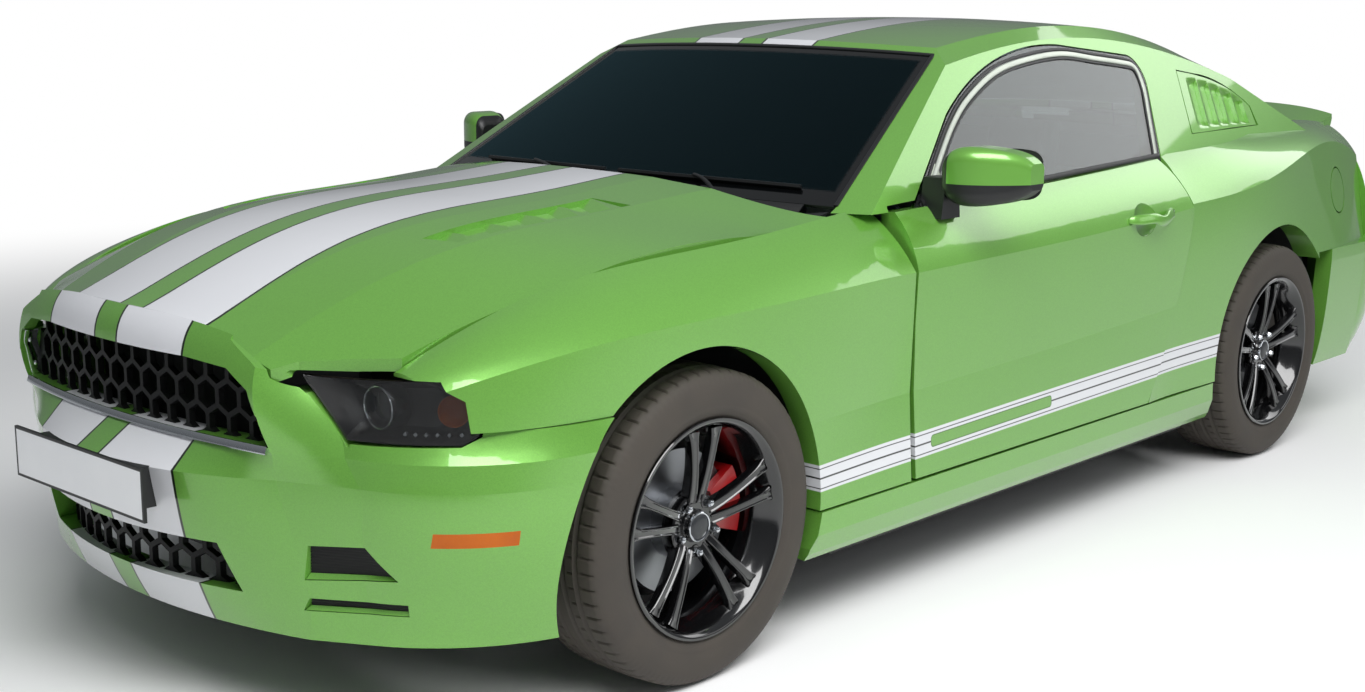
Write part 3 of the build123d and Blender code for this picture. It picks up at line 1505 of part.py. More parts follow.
def write_chassis():
    """Structure, running gear, drive line and cabin."""
    floor_pan = make_floor_pan()
    save(floor_pan, "floor_pan")
    save(make_front_structure(floor_pan), "front_structure")
    save(make_rear_structure(floor_pan), "rear_structure")
    save(make_front_subframe(), "front_subframe")
    save_pair(make_knuckle(), "knuckle")
    with BuildPart() as caliper:
        add(make_caliper(front_axle_x, track_front / 2, 1))
        add(make_knuckle(), mode=Mode.SUBTRACT)
    save_pair(caliper.part, "caliper")
    save(make_rear_axle(), "rear_axle")
    save(make_powertrain(), "powertrain")
    save(make_exhaust(), "exhaust")
    save(make_fuel_tank(), "fuel_tank")
    save(make_dashboard(), "dashboard")
    save(make_steering_wheel(), "steering_wheel")
    save(make_seats(), "seats")
    front_y = track_front / 2
    wheel_pieces = {"tyre": make_tyre(front_axle_x, front_y), "rim": make_rim(front_axle_x, front_y),
                    "brake_disc": make_brake_disc(front_axle_x, front_y)}
    to_rear = Location((-wheelbase, track_rear / 2 - front_y, 0))
    for label, piece in wheel_pieces.items():
        save_pair(piece, f"{label}_front")
        save_pair(piece.moved(to_rear), f"{label}_rear")


write_body()
write_chassis()
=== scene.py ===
import math
from functools import partial
import bmesh
import bpy
import numpy as np
from mathutils import Matrix, Vector
from mathutils.bvhtree import BVHTree


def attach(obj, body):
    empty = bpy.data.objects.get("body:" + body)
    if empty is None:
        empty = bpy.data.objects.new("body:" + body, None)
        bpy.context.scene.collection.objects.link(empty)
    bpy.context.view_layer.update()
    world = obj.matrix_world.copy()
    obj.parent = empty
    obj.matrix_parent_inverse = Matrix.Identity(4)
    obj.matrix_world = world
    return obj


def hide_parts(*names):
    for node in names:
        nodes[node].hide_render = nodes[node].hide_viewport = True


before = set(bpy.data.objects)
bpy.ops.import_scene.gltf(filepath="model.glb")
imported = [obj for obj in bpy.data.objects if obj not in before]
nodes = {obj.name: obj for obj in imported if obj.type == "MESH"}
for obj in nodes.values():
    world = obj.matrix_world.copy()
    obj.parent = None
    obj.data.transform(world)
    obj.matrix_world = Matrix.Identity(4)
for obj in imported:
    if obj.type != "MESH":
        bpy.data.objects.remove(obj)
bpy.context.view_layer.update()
print("frame loaded:", len(nodes), "nodes")


# colours and nodes
def linear(hexCode):
    # sRGB to linear: below 0.04045 divide by 12.92, above it ((c + 0.055) / 1.055) to the power 2.4
    parts = [int(hexCode[i:i + 2], 16) / 255 for i in (1, 3, 5)]
    return tuple(c / 12.92 if c <= 0.04045 else ((c + 0.055) / 1.055) ** 2.4 for c in parts) + (1.0,)


def put(tree, kind, inputs=(), **settings):
    # one node: its settings, and for each input a number, a colour, an output, a node for its first output,
    # or a sum; a sum is (operation, first, second, third), and it can stand in place of the kind too
    if isinstance(kind, tuple):
        kind, inputs, settings = "Math", kind[1:], {"operation": kind[0]}
    node = tree.nodes.new("ShaderNode" + kind)
    for key, value in settings.items():
        setattr(node, key, value)
    for key, value in inputs.items() if isinstance(inputs, dict) else enumerate(inputs):
        if isinstance(value, tuple) and isinstance(value[0], str):
            value = put(tree, value)
        if isinstance(value, bpy.types.Node):
            value = value.outputs[0]
        if isinstance(value, bpy.types.NodeSocket):
            tree.links.new(value, node.inputs[key])
        else:
            node.inputs[key].default_value = value
    return node


def newMaterial(name):
    material = bpy.data.materials.new(name)
    material.use_nodes = True
    tree = material.node_tree
    tree.nodes.clear()
    add = partial(put, tree)
    return material, add, add("TexCoord").outputs["Object"]


def bandMask(add, value, low, high, soft=0.0008):
    # 1 between low and high, with an edge as wide as soft; the value can be a sum
    rise = add("MapRange", [value, low - soft, low + soft], interpolation_type="SMOOTHSTEP")
    fall = add("MapRange", [value, high + soft, high - soft], interpolation_type="SMOOTHSTEP")
    return add(("MULTIPLY", rise, fall))


# camera
camera = {"place": (4.078955, 3.259439, 1.442481), "yaw": -2.394056, "pitch": -0.194768, "roll": 0.0061037,
          "focal": 1736.2225, "width": 1365, "sensor": 36.0}


def axesAlong(ahead):
    # unit vectors to the side, upwards and ahead of a direction
    ahead = np.asarray(ahead, float) / np.linalg.norm(ahead)
    side = np.cross(ahead, (0, 0, 1.0))
    side /= np.linalg.norm(side)
    return side, np.cross(side, ahead), ahead


def stand(name, data, place, side, above, ahead):
    # cameras and lamps look along their own -Z
    thing = bpy.data.objects.new(name, data)
    bpy.context.scene.collection.objects.link(thing)
    turn = np.column_stack([side, above, -ahead])
    thing.matrix_world = Matrix([list(turn[i]) + [place[i]] for i in range(3)] + [[0, 0, 0, 1]])
    return thing


def makeCamera():
    # forward from yaw and pitch, then the picture's axes turned about it by the roll
    level = math.cos(camera["pitch"])
    side, above, ahead = axesAlong((level * math.cos(camera["yaw"]), level * math.sin(camera["yaw"]),
                                    math.sin(camera["pitch"])))
    c, s = math.cos(camera["roll"]), math.sin(camera["roll"])
    data = bpy.data.cameras.new("photoCamera")
    data.sensor_fit, data.sensor_width = "HORIZONTAL", camera["sensor"]
    data.lens = camera["focal"] / camera["width"] * camera["sensor"]
    data.clip_start, data.clip_end = 0.05, 200
    bpy.context.scene.camera = stand("photoCamera", data, camera["place"], side * c + above * s,
                                     above * c - side * s, ahead)


# floor and light
studio = {"halfSize": 40, "keyPower": 380, "fillPower": 36, "rimPower": 80, "world": 0.36}


def makeStudio():
    scene = bpy.context.scene
    scene.view_settings.view_transform = "Standard"
    world = bpy.data.worlds.new("studioWorld")
    scene.world = world
    world.use_nodes = True
    world.node_tree.nodes.clear()
    add = partial(put, world.node_tree)
    path = add("LightPath")
    seen = add(("MAXIMUM", path.outputs["Is Camera Ray"], path.outputs["Is Transmission Ray"]))
    place = add("TexCoord").outputs["Generated"]
    height = add("SeparateXYZ", [place]).outputs[2]
    lift = add("MapRange", [height, -0.2, 0.9, 0.35, 1.0])
    soft = add("Background", {1: ("MULTIPLY", lift, studio["world"]), 0: linear("#eef3f8")})
    plain = add("Background", [(1, 1, 1, 1), 1.0])
    both = add("MixShader", [seen, soft, plain])
    add("OutputWorld", [both])
    size = studio["halfSize"]
    mesh = bpy.data.meshes.new("studioFloor")
    mesh.from_pydata([(-size, -size, 0), (size, -size, 0), (size, size, 0), (-size, size, 0)], [], [(0, 1, 2, 3)])
    floor = bpy.data.objects.new("studioFloor", mesh)
    scene.collection.objects.link(floor)
    material, add, place = newMaterial("paperFloor")
    path = add("LightPath")
    grain = add("TexNoise", {"Vector": place, "Scale": 3.0, "Detail": 3.0})
    tone = add("Mix", {0: ("MULTIPLY", grain, 0.05), 6: linear("#f4f4f4"), 7: linear("#dcdcdc")},
               data_type="RGBA").outputs[2]
    paper = add("BsdfPrincipled", {"Base Color": tone, "Roughness": 0.9})
    spread = add("VectorMath", [place], operation="LENGTH").outputs["Value"]
    far = add("MapRange", [spread, 3.2, 7.5], interpolation_type="SMOOTHSTEP")
    white = add("Emission", [(1, 1, 1, 1), 1.0])
    both = add("MixShader", [("MULTIPLY", far, path.outputs["Is Camera Ray"]), paper, white])
    add("OutputMaterial", [both])
    mesh.materials.append(material)
    for name, place, aim, power, sizeX, sizeY in (
            ("keyPanel", (2.5, 3.5, 5.0), (0.3, 0.2, 0.5), studio["keyPower"], 5.0, 3.0),
            ("sidePanel", (-3.0, 6.0, 3.2), (0, 0.4, 0.7), studio["fillPower"], 4.0, 2.0),
            ("rearPanel", (-6.0, 2.5, 4.2), (0, 0, 0.8), studio["rimPower"], 4.0, 2.5)):
        data = bpy.data.lights.new(name, "AREA")
        data.energy, data.shape, data.size, data.size_y = power, "RECTANGLE", sizeX, sizeY
        stand(name, data, place, *axesAlong(np.array(aim) - np.array(place)))


# materials
paint = {"body": "#72b048", "deep": "#66a13d", "stripe": "#d8d9dd", "line": "#14180f", "stripeInner": 0.046,
         "stripeRear": 0.222, "stripeNose": 0.266, "lineWidth": 0.006, "metallic": 0.35, "rough": 0.34}
# the cabin's side of doors and quarters, which is lined
cabinSide = {"halfWidth": 0.8, "top": 0.95, "rear": -0.95, "front": 0.69}
sideBand = {"topAtZero": 0.4405, "topSlope": -0.0218, "lowAtZero": 0.374, "lowSlope": -0.0185,
            "lozengeX": 0.361, "lozengeHalf": 0.268, "lozengeRound": 0.01, "lozengeLine": 0.0022}


def topStripes(add, x, y, z):
    # two bands along the car, wider towards the nose, each with a thin dark line at both edges
    away = add(("ABSOLUTE", y))
    edge = add("MapRange", [x, 1.03, 2.29, paint["stripeRear"], paint["stripeNose"]])
    past = add(("SUBTRACT", away, edge))
    white = add(("MULTIPLY", bandMask(add, past, -1.0, -paint["lineWidth"]),
                 bandMask(add, away, paint["stripeInner"], 1.0)))
    dark = add(("MAXIMUM", bandMask(add, past, -paint["lineWidth"], 0.0),
                bandMask(add, away, paint["stripeInner"] - paint["lineWidth"], paint["stripeInner"])))
    # the tape is on the outside only: faces that look down keep plain enamel
    facing = add("SeparateXYZ", [add("TexCoord").outputs["Normal"]]).outputs[2]
    outside = bandMask(add, facing, -0.75, 2.0, 0.02)
    return add(("MULTIPLY", white, outside)), add(("MULTIPLY", dark, outside))


def sideStripes(add, x, y, z):
    # one band along the sills that narrows a little to the nose, with three lines and a bare lozenge
    top = add(("MULTIPLY_ADD", x, sideBand["topSlope"], sideBand["topAtZero"]))
    low = add(("MULTIPLY_ADD", x, sideBand["lowSlope"], sideBand["lowAtZero"]))
    share = add(("DIVIDE", ("SUBTRACT", z, low), ("SUBTRACT", top, low)))
    band = bandMask(add, share, 0.0, 1.0, 0.012)
    middle, upper, lower = (bandMask(add, share, *ends, 0.012)
                            for ends in ((0.465, 0.53), (0.84, 0.88), (0.1, 0.14)))
    lines = add(("MAXIMUM", middle, ("MAXIMUM", upper, lower)))
    # rounded box round the lozenge: how far a point lies outside a core box, less the corner radius
    dx = add(("ABSOLUTE", ("SUBTRACT", x, sideBand["lozengeX"])))
    dz = add(("MULTIPLY", ("ABSOLUTE", ("SUBTRACT", share, 0.5)), 0.06))
    qx = add(("MAXIMUM", ("SUBTRACT", dx, sideBand["lozengeHalf"]), 0.0))
    qz = add(("MAXIMUM", ("SUBTRACT", dz, 0.0045), 0.0))
    off = add(("SQRT", ("ADD", ("MULTIPLY", qx, qx), ("MULTIPLY", qz, qz))))
    lozenge = bandMask(add, off, -1.0, sideBand["lozengeRound"], 0.0006)
    rimLine = bandMask(add, off, sideBand["lozengeRound"] - sideBand["lozengeLine"], sideBand["lozengeRound"],
                       0.0006)
    bare = add(("SUBTRACT", 1.0, lozenge))
    dark = add(("MAXIMUM", ("MULTIPLY", ("MULTIPLY", lines, band), bare),
                ("MULTIPLY", ("MULTIPLY", rimLine, band), 0.6)))
    return add(("MULTIPLY", band, bare)), dark


def hollowDish(add, x, z, dish):
    # height of a hollow half ellipsoid, in metres, so a thin shell shades like a pressed dish
    dx = add(("MULTIPLY_ADD", x, 1 / dish["rx"], -dish["x"] / dish["rx"]))
    dz = add(("MULTIPLY_ADD", z, 1 / dish["rz"], -dish["z"] / dish["rz"]))
    far = add(("ADD", ("MULTIPLY", dx, dx), ("MULTIPLY", dz, dz)))
    deep = add(("SQRT", ("MAXIMUM", ("SUBTRACT", 1.0, far), 0.0)))
    return add("Bump", {"Height": ("MULTIPLY", deep, -dish["depth"]), "Strength": 1.0, "Distance": 1.0})


def metallicPaint(name, stripes=None, dish=None):
    # two-coat metallic enamel, sprayed: bright flakes under a deep clear coat, faintly cloudy
    material, add, place = newMaterial(name)
    x, y, z = add("SeparateXYZ", [place]).outputs
    drift = add("TexNoise", {"Vector": place, "Scale": 0.9, "Detail": 1.0})
    base = add("Mix", {0: drift, 6: linear(paint["body"]), 7: linear(paint["deep"])}, data_type="RGBA").outputs[2]
    # flakes 1.6 mm apart, coarser than real ones
    cells = add("TexVoronoi", {"Vector": place, "Scale": 620.0})
    flake = add("SeparateColor", [cells.outputs["Color"]])
    cloud = add("TexNoise", {"Vector": place, "Scale": 1.6, "Detail": 2.0})
    glint = add(("MULTIPLY_ADD", flake, 0.16, ("MULTIPLY_ADD", cloud, 0.1, 0.87)))
    base = add("HueSaturation", {"Value": glint, "Color": base})
    metal, rough, coat = paint["metallic"], paint["rough"], 1.0
    if stripes:
        white, dark = stripes(add, x, y, z)
        base = add("Mix", {0: white, 6: base, 7: linear(paint["stripe"])}, data_type="RGBA").outputs[2]
        base = add("Mix", {0: dark, 6: base, 7: linear(paint["line"])}, data_type="RGBA").outputs[2]
        metal = add(("MULTIPLY", ("SUBTRACT", 1.0, white), metal))
        rough = add(("MULTIPLY_ADD", white, 0.05, rough))
    if stripes is sideStripes:
        # the lined side is grained board, without clear coat
        lined = add(("MULTIPLY", bandMask(add, ("ABSOLUTE", y), -1.0, cabinSide["halfWidth"], 0.0005),
                     ("MULTIPLY", bandMask(add, z, 0.0, cabinSide["top"]),
                      bandMask(add, x, cabinSide["rear"], cabinSide["front"]))))
        weave = add("TexVoronoi", {"Vector": place, "Scale": 260.0}).outputs["Distance"]
        board = add("Mix", {0: weave, 6: linear("#222326"), 7: linear("#34353a")}, data_type="RGBA").outputs[2]
        base = add("Mix", {0: lined, 6: base, 7: board}, data_type="RGBA").outputs[2]
        coat = add(("SUBTRACT", 1.0, lined))
        metal = add(("MULTIPLY", metal, coat))
        rough = add(("MULTIPLY_ADD", lined, 0.25, rough))
    peel = add("TexNoise", {"Vector": place, "Scale": 180.0, "Detail": 1.0})
    skin = add("Bump", {"Height": peel, "Strength": 0.03, "Distance": 0.0004})
    normals = {"Coat Normal": skin}
    if dish:
        hollow = hollowDish(add, x, z, dish)
        normals = {"Normal": hollow, "Coat Normal": hollow}
    shader = add("BsdfPrincipled", {"Base Color": base, "Metallic": metal, "Roughness": rough, "Coat Weight": coat,
                                    "Coat Roughness": 0.04, "Coat IOR": 1.5, **normals})
    add("OutputMaterial", [shader])
    return material


def plainFinish(name, colour, second, rough, metallic=0.0, grain=300.0, contrast=0.5, bump=0.15, depth=0.0003,
                coat=0.0, coatRough=0.03, roughSpread=0.08, extra=None):
    # shared by moulded, cast and sprayed finishes: two close tones, a fine grain and an uneven gloss
    material, add, place = newMaterial(name)
    patch = add("TexNoise", {"Vector": place, "Scale": 9.0, "Detail": 4.0})
    fine = add("TexNoise", {"Vector": place, "Scale": grain, "Detail": 2.0})
    tone = add("Mix", {0: ("MULTIPLY", patch, contrast), 6: linear(colour), 7: linear(second)},
               data_type="RGBA").outputs[2]
    gloss = add(("MULTIPLY_ADD", patch, roughSpread, rough - roughSpread / 2))
    skin = add("Bump", {"Height": fine, "Strength": bump, "Distance": depth})
    shader = add("BsdfPrincipled", {"Base Color": tone, "Roughness": gloss, "Metallic": metallic, "Normal": skin,
                                    "Coat Weight": coat, "Coat Roughness": coatRough, **(extra or {})})
    add("OutputMaterial", [shader])
    return material


def rubberTyre(name):
    # vulcanised rubber: dusty grey-brown wall with moulding rings, the tread in the same patchy tones
    material, add, place = newMaterial(name)
    patch = add("TexNoise", {"Vector": place, "Scale": 14.0, "Detail": 5.0})
    fine = add("TexNoise", {"Vector": place, "Scale": 900.0, "Detail": 2.0})
    tone = add("Mix", {0: patch, 6: linear("#3b3733"), 7: linear("#4b453e")}, data_type="RGBA").outputs[2]
    skin = add("Bump", {"Height": fine, "Strength": 0.25, "Distance": 0.0004})
    gloss = add(("MULTIPLY_ADD", patch, 0.15, 0.62))
    shader = add("BsdfPrincipled",
                 {"Base Color": tone, "Roughness": gloss, "Normal": skin, "Specular IOR Level": 0.4})
    add("OutputMaterial", [shader])
    return material


def laminatedGlass(name, colour, rough=0.0):
    # float glass, tinted in the melt: what lies behind it is dimmed, the sky shows on it
    material, add, place = newMaterial(name)
    film = add("TexNoise", {"Vector": place, "Scale": 2.5, "Detail": 3.0})
    dust = add(("MULTIPLY_ADD", film, 0.02, rough))
    shader = add("BsdfPrincipled",
                 {"Roughness": dust, "Base Color": linear(colour), "Transmission Weight": 1.0, "IOR": 1.5})
    add("OutputMaterial", [shader])
    return material


frit = {"side": -0.49743, "top": 0.322, "low": 0.872, "fade": 0.014}  # where the black border starts
footCurve = 0.2367  # the foot of the screen is a parabola from above, x = x0 - 0.2367 y^2


def screenGlass(name, colour):
    # tinted laminated glass with a border of black enamel baked on it, and fine dots where it fades out
    material, add, place = newMaterial(name)
    x, y = add("SeparateXYZ", [place]).outputs[:2]
    away = add(("ABSOLUTE", y))
    square = add(("MULTIPLY", y, y))
    # how far a point lies past the border's edge: beside the pillars, under the roof, over the cowl
    side = add(("MULTIPLY_ADD", away, 0.9748, ("MULTIPLY_ADD", x, -0.2231, frit["side"])))
    top = add(("SUBTRACT", ("MULTIPLY_ADD", square, -0.1967, frit["top"]), x))
    low = add(("SUBTRACT", x, ("MULTIPLY_ADD", square, -footCurve, frit["low"])))
    past = add(("MAXIMUM", side, ("MAXIMUM", top, low)))
    solid = bandMask(add, past, 0.0, 5.0, 0.0006)
    dots = add("TexVoronoi", {"Vector": place, "Scale": 260.0, "Randomness": 0.0}).outputs["Distance"]
    fade = add("MapRange", [past, -frit["fade"], 0.0, 0.0, 0.62])
    border = add(("MAXIMUM", solid, ("LESS_THAN", dots, fade)))
    film = add("TexNoise", {"Vector": place, "Scale": 2.5, "Detail": 3.0})
    through = add("BsdfTransparent", {"Color": linear(colour)})
    shine = add("BsdfGlossy", {"Roughness": ("MULTIPLY", film, 0.03), "Color": linear("#86b3bf")})
    glass = add("MixShader", [add("Fresnel", {"IOR": 1.42}), through, shine])
    enamel = add("BsdfPrincipled", {"Base Color": linear("#060708"), "Roughness": 0.07, "IOR": 1.5})
    both = add("MixShader", [border, glass, enamel])
    add("OutputMaterial", [both])
    return material


def twoTone(name, first, second, mask):
    # two finishes on one moulding, parted by a mask made from the place
    material, add, place = newMaterial(name)
    share = mask(add, *add("SeparateXYZ", [place]).outputs)
    grain = add("TexNoise", {"Vector": place, "Scale": 420.0, "Detail": 2.0})
    patch = add("TexNoise", {"Vector": place, "Scale": 8.0, "Detail": 3.0})
    tones = [add("Mix", {0: patch, 6: linear(finish["tones"][0]), 7: linear(finish["tones"][1])},
                 data_type="RGBA").outputs[2] for finish in (first, second)]
    skin = add("Bump", {"Height": grain, "Strength": 0.1, "Distance": 0.0003})
    inputs = {"Base Color": add("Mix", {0: share, 6: tones[0], 7: tones[1]}, data_type="RGBA").outputs[2],
              "Coat Normal": skin, "Coat Roughness": 0.05}
    for socket in ("Roughness", "Metallic", "Coat Weight"):
        low, high = first.get(socket, 0.0), second.get(socket, 0.0)
        inputs[socket] = add(("MULTIPLY_ADD", share, high - low, low))
    shader = add("BsdfPrincipled", inputs)
    add("OutputMaterial", [shader])
    return material


mirrorSplit = {"z": 1.0185, "footY": 0.87}
plateEdge = {"x": 2.39, "halfWidth": 0.2535, "middleZ": 0.489, "halfHeight": 0.049}


def mirrorMask(add, x, y, z):
    # 1 on the black lower shell and on the foot by the door
    return add(("MAXIMUM", bandMask(add, z, -1.0, mirrorSplit["z"], 0.0005),
                bandMask(add, ("ABSOLUTE", y), -1.0, mirrorSplit["footY"])))


def plateMask(add, x, y, z):
    # 1 on the plate's white face, inside its dark edge
    wide = bandMask(add, ("ABSOLUTE", y), -1.0, plateEdge["halfWidth"], 0.0006)
    high = bandMask(add, ("ABSOLUTE", ("SUBTRACT", z, plateEdge["middleZ"])), -1.0, plateEdge["halfHeight"], 0.0006)
    return add(("MULTIPLY", bandMask(add, x, plateEdge["x"], 3.0, 0.0005), ("MULTIPLY", wide, high)))


# sprayed enamel: green flakes that brighten and darken as the panel turns
greenPaint = metallicPaint("metallicEnamelGreen")
greenTopStripes = metallicPaint("metallicEnamelStripedTop", topStripes)
greenSideStripes = metallicPaint("metallicEnamelStripedSide", sideStripes)
cupPaint = metallicPaint("metallicEnamelDish",
                         dish={"x": -0.368, "z": 0.853, "rx": 0.062, "rz": 0.048, "depth": 0.02})
# moulded blacks: dull grained trim, a darker grille, wet gloss, satin wheel caps, soft seals, rough scuttle
blackTrim = plainFinish("mouldedTrimBlack", "#101112", "#1c1d1f", 0.45, grain=700.0, bump=0.2)
grilleBlack = plainFinish("mouldedGrilleBlack", "#060707", "#0d0e0f", 0.5, grain=500.0, bump=0.2,
                          extra={"Specular IOR Level": 0.25})
glossBlack = plainFinish("glossAbsBlack", "#08090a", "#111214", 0.12, grain=120.0, bump=0.03, coat=0.6)
capPlastic = plainFinish("mouldedCapSatin", "#25272a", "#34373a", 0.3, bump=0.05)
sealRubber = plainFinish("extrudedSealRubber", "#131415", "#1f2021", 0.36, grain=600.0, bump=0.12)
scuttlePlastic = plainFinish("scuttlePlasticGrained", "#0f1011", "#1a1b1c", 0.5, grain=900.0, bump=0.5, depth=0.0006)
feltBlack = plainFinish("needledFeltBlack", "#18191a", "#27282a", 0.9, grain=1200.0, bump=0.7, depth=0.001)
tankPlastic = plainFinish("blowMouldedTank", "#17181a", "#222325", 0.5, grain=140.0, bump=0.3)
lampBlack = plainFinish("lampBowlBrownBlack", "#15110f", "#2a2320", 0.32, grain=160.0, bump=0.1)
cabinPlastic = plainFinish("grainedCabinPlastic", "#26272a", "#303134", 0.6, grain=420.0, bump=0.4)
seatLeather = plainFinish("seatLeatherGrey", "#8d867c", "#7b746b", 0.45, grain=520.0, bump=0.5, depth=0.0006)
tyreRubber = rubberTyre("vulcanisedRubber")
# coated and bare metals: mirror-like rims, turned discs, oily castings, heat-stained pipes, satin strips;
# the pale tone round the side windows is painted sky reflection
blackRim = plainFinish("powderCoatGlossBlack", "#0a0a0b", "#131315", 0.16, 0.2, 260.0, bump=0.05, coat=1.0,
                       coatRough=0.05)
brightSteel = plainFinish("chromedSteel", "#c9ccd0", "#b9bdc2", 0.12, 1.0, 200.0, bump=0.02)
discSteel = plainFinish("turnedDiscSteel", "#8a8c8f", "#74767a", 0.32, 1.0, 400.0, bump=0.2)
redEnamel = plainFinish("caliperRedEnamel", "#c2181c", "#a51318", 0.3, grain=90.0, bump=0.08, coat=0.5, coatRough=0.1)
chassisBlack = plainFinish("chassisWaxBlack", "#1a1b1c", "#262726", 0.55, grain=60.0, bump=0.2)
castIron = plainFinish("castIronGrey", "#4c4a47", "#5d5954", 0.6, 0.6, 240.0, bump=0.5)
exhaustSteel = plainFinish("stainlessSteelPipe", "#9a958c", "#7f776c", 0.3, 1.0, 90.0, bump=0.08)
# pale satin tone: on the door pulls it is the metal's own, round the side windows it is painted sky reflection on the
# surround
satinTrimAndPaintedSkyReflection = plainFinish("satinPaleTrimAndPaintedSkyReflection", "#b4bab0", "#9fa69b", 0.34, 0.9, 500.0, bump=0.06)
# pale grey-green tone of the corner panel at the mirror's foot: painted sky reflection
cornerPaintedSkyReflection = plainFinish("cornerPanelPaintedSkyReflection", "#b7c0ae", "#a8b29f", 0.4, 0.3, 400.0, bump=0.08)
mirrorSilver = plainFinish("silveredMirrorGlass", "#c2c9cd", "#b4bcc1", 0.03, 1.0, 40.0, bump=0.01, roughSpread=0.02)
# glass and lenses: clear sky on dark depth, saturated red, amber and white fillings
windscreenGlass = screenGlass("windscreenGlassGreen", "#a3b6b6")
sideGlass = laminatedGlass("sideGlassGrey", "#6f7d7c")
smokedLens = laminatedGlass("smokedLensPolycarbonate", "#a9abac")
bulbGlass = plainFinish("projectorGlass", "#1b2226", "#2a3236", 0.06, grain=60.0, bump=0.02, coat=1.0, coatRough=0.02)
redLens = plainFinish("lensRedAcrylic", "#b3141a", "#8f0e14", 0.08, grain=60.0, bump=0.02, coat=1.0,
                      extra={"Transmission Weight": 0.25})
amberLens = plainFinish("lensAmberAcrylic", "#d36c00", "#a34700", 0.22, grain=160.0, contrast=1.0, bump=0.6,
                        depth=0.001, extra={"Specular IOR Level": 0.35})
clearLens = plainFinish("lensClearAcrylic", "#c9cdd0", "#b3b8bc", 0.1, grain=200.0, bump=0.2, coat=1.0)
# two finishes on one moulding: a green cap over a black foot, a white face in a dark edge
blackShell = {"tones": ("#0e0f10", "#191a1c"), "Roughness": 0.42}
greenShell = {"tones": (paint["body"], paint["deep"]), "Roughness": paint["rough"], "Metallic": paint["metallic"],
              "Coat Weight": 1.0}
whiteFace = {"tones": ("#f4f5f6", "#e9ebee"), "Roughness": 0.35, "Coat Weight": 0.5}
mirrorShell = twoTone("mirrorShellTwoTone", greenShell, blackShell, mirrorMask)
plateFace = twoTone("reflectivePlateFramed", blackShell, whiteFace, plateMask)

nodeFinish = (
    (greenTopStripes, "front_bumper hood roof trunk_lid spoiler tail_panel rear_bumper"),
    (greenSideStripes, "fender_left fender_right door_left door_right side_frame_left side_frame_right"),
    (greenPaint, "fuel_flap quarter_louvres sill_mouldings"), (mirrorShell, "mirror_left mirror_right"),
    (grilleBlack, "grilles"), (blackTrim, "wiper_cowl"), (plateFace, "number_plate"), (smokedLens, "headlamps"),
    (redLens, "tail_lamps side_markers_rear"), (amberLens, "side_markers_front"), (windscreenGlass, "windshield"),
    (sideGlass, "rear_window door_glass_left door_glass_right"),
    (chassisBlack, "floor_pan front_structure rear_structure front_subframe"),
    (castIron, "knuckle_left knuckle_right rear_axle powertrain"), (redEnamel, "caliper_left caliper_right"),
    (discSteel, "brake_disc_front_left brake_disc_front_right brake_disc_rear_left brake_disc_rear_right"),
    (exhaustSteel, "exhaust"), (tankPlastic, "fuel_tank"), (cabinPlastic, "dashboard steering_wheel"),
    (seatLeather, "seats"))
for material, names in nodeFinish:
    for name in names.split():
        for holder in nodes[name].material_slots:
            holder.material = material
print("materials set")


# meshes from grids
def gridFaces(rows, columns, loopRows, loopColumns, flip=False):
    # quads between neighbours of a rows x columns grid, wrapping where a direction is a loop
    r = np.arange(rows if loopRows else rows - 1)
    c = np.arange(columns if loopColumns else columns - 1)
    a, b = np.meshgrid(r, c, indexing="ij")
    a2, b2 = (a + 1) % rows, (b + 1) % columns
    quads = np.stack([a * columns + b, a2 * columns + b, a2 * columns + b2, a * columns + b2], axis=-1)
    quads = quads.reshape(-1, 4)
    return quads[:, ::-1] if flip else quads


def part(points, faces, slot=0):
    return {"points": np.asarray(points, float).reshape(-1, 3), "faces": np.asarray(faces), "slot": slot}


def gridPart(points, loopRows=False, loopColumns=False, flip=False, slot=0):
    rows, columns = points.shape[:2]
    return part(points, gridFaces(rows, columns, loopRows, loopColumns, flip), slot)


def capPart(ring, flip=False, slot=0):
    # closes a ring of points with a fan of triangles about its middle
    n = len(ring)
    points = np.vstack([ring, ring.mean(axis=0)])
    i = np.arange(n)
    fan = np.column_stack([i, (i + 1) % n, np.full(n, n)])
    return part(points, fan[:, ::-1] if flip else fan, slot)


def barParts(rings, slot=0, flip=False):
    # rings of points joined to one bar, closed at both ends
    return [gridPart(rings, False, True, flip, slot), capPart(rings[0], not flip, slot),
            capPart(rings[-1], flip, slot)]


def mirrored(parts):
    # the other side of the car: y changes sign and each face turns round
    return [part(p["points"] * (1, -1, 1), p["faces"][:, ::-1], p["slot"]) for p in parts]


def moved(parts, place):
    return [part(p["points"] + np.asarray(place), p["faces"], p["slot"]) for p in parts]


def turned(parts, angle):
    # turned about the Y axis by an angle in radians
    c, s = math.cos(angle), math.sin(angle)
    turn = np.array([[c, 0, -s], [0, 1, 0], [s, 0, c]])
    return [part(p["points"] @ turn.T, p["faces"], p["slot"]) for p in parts]


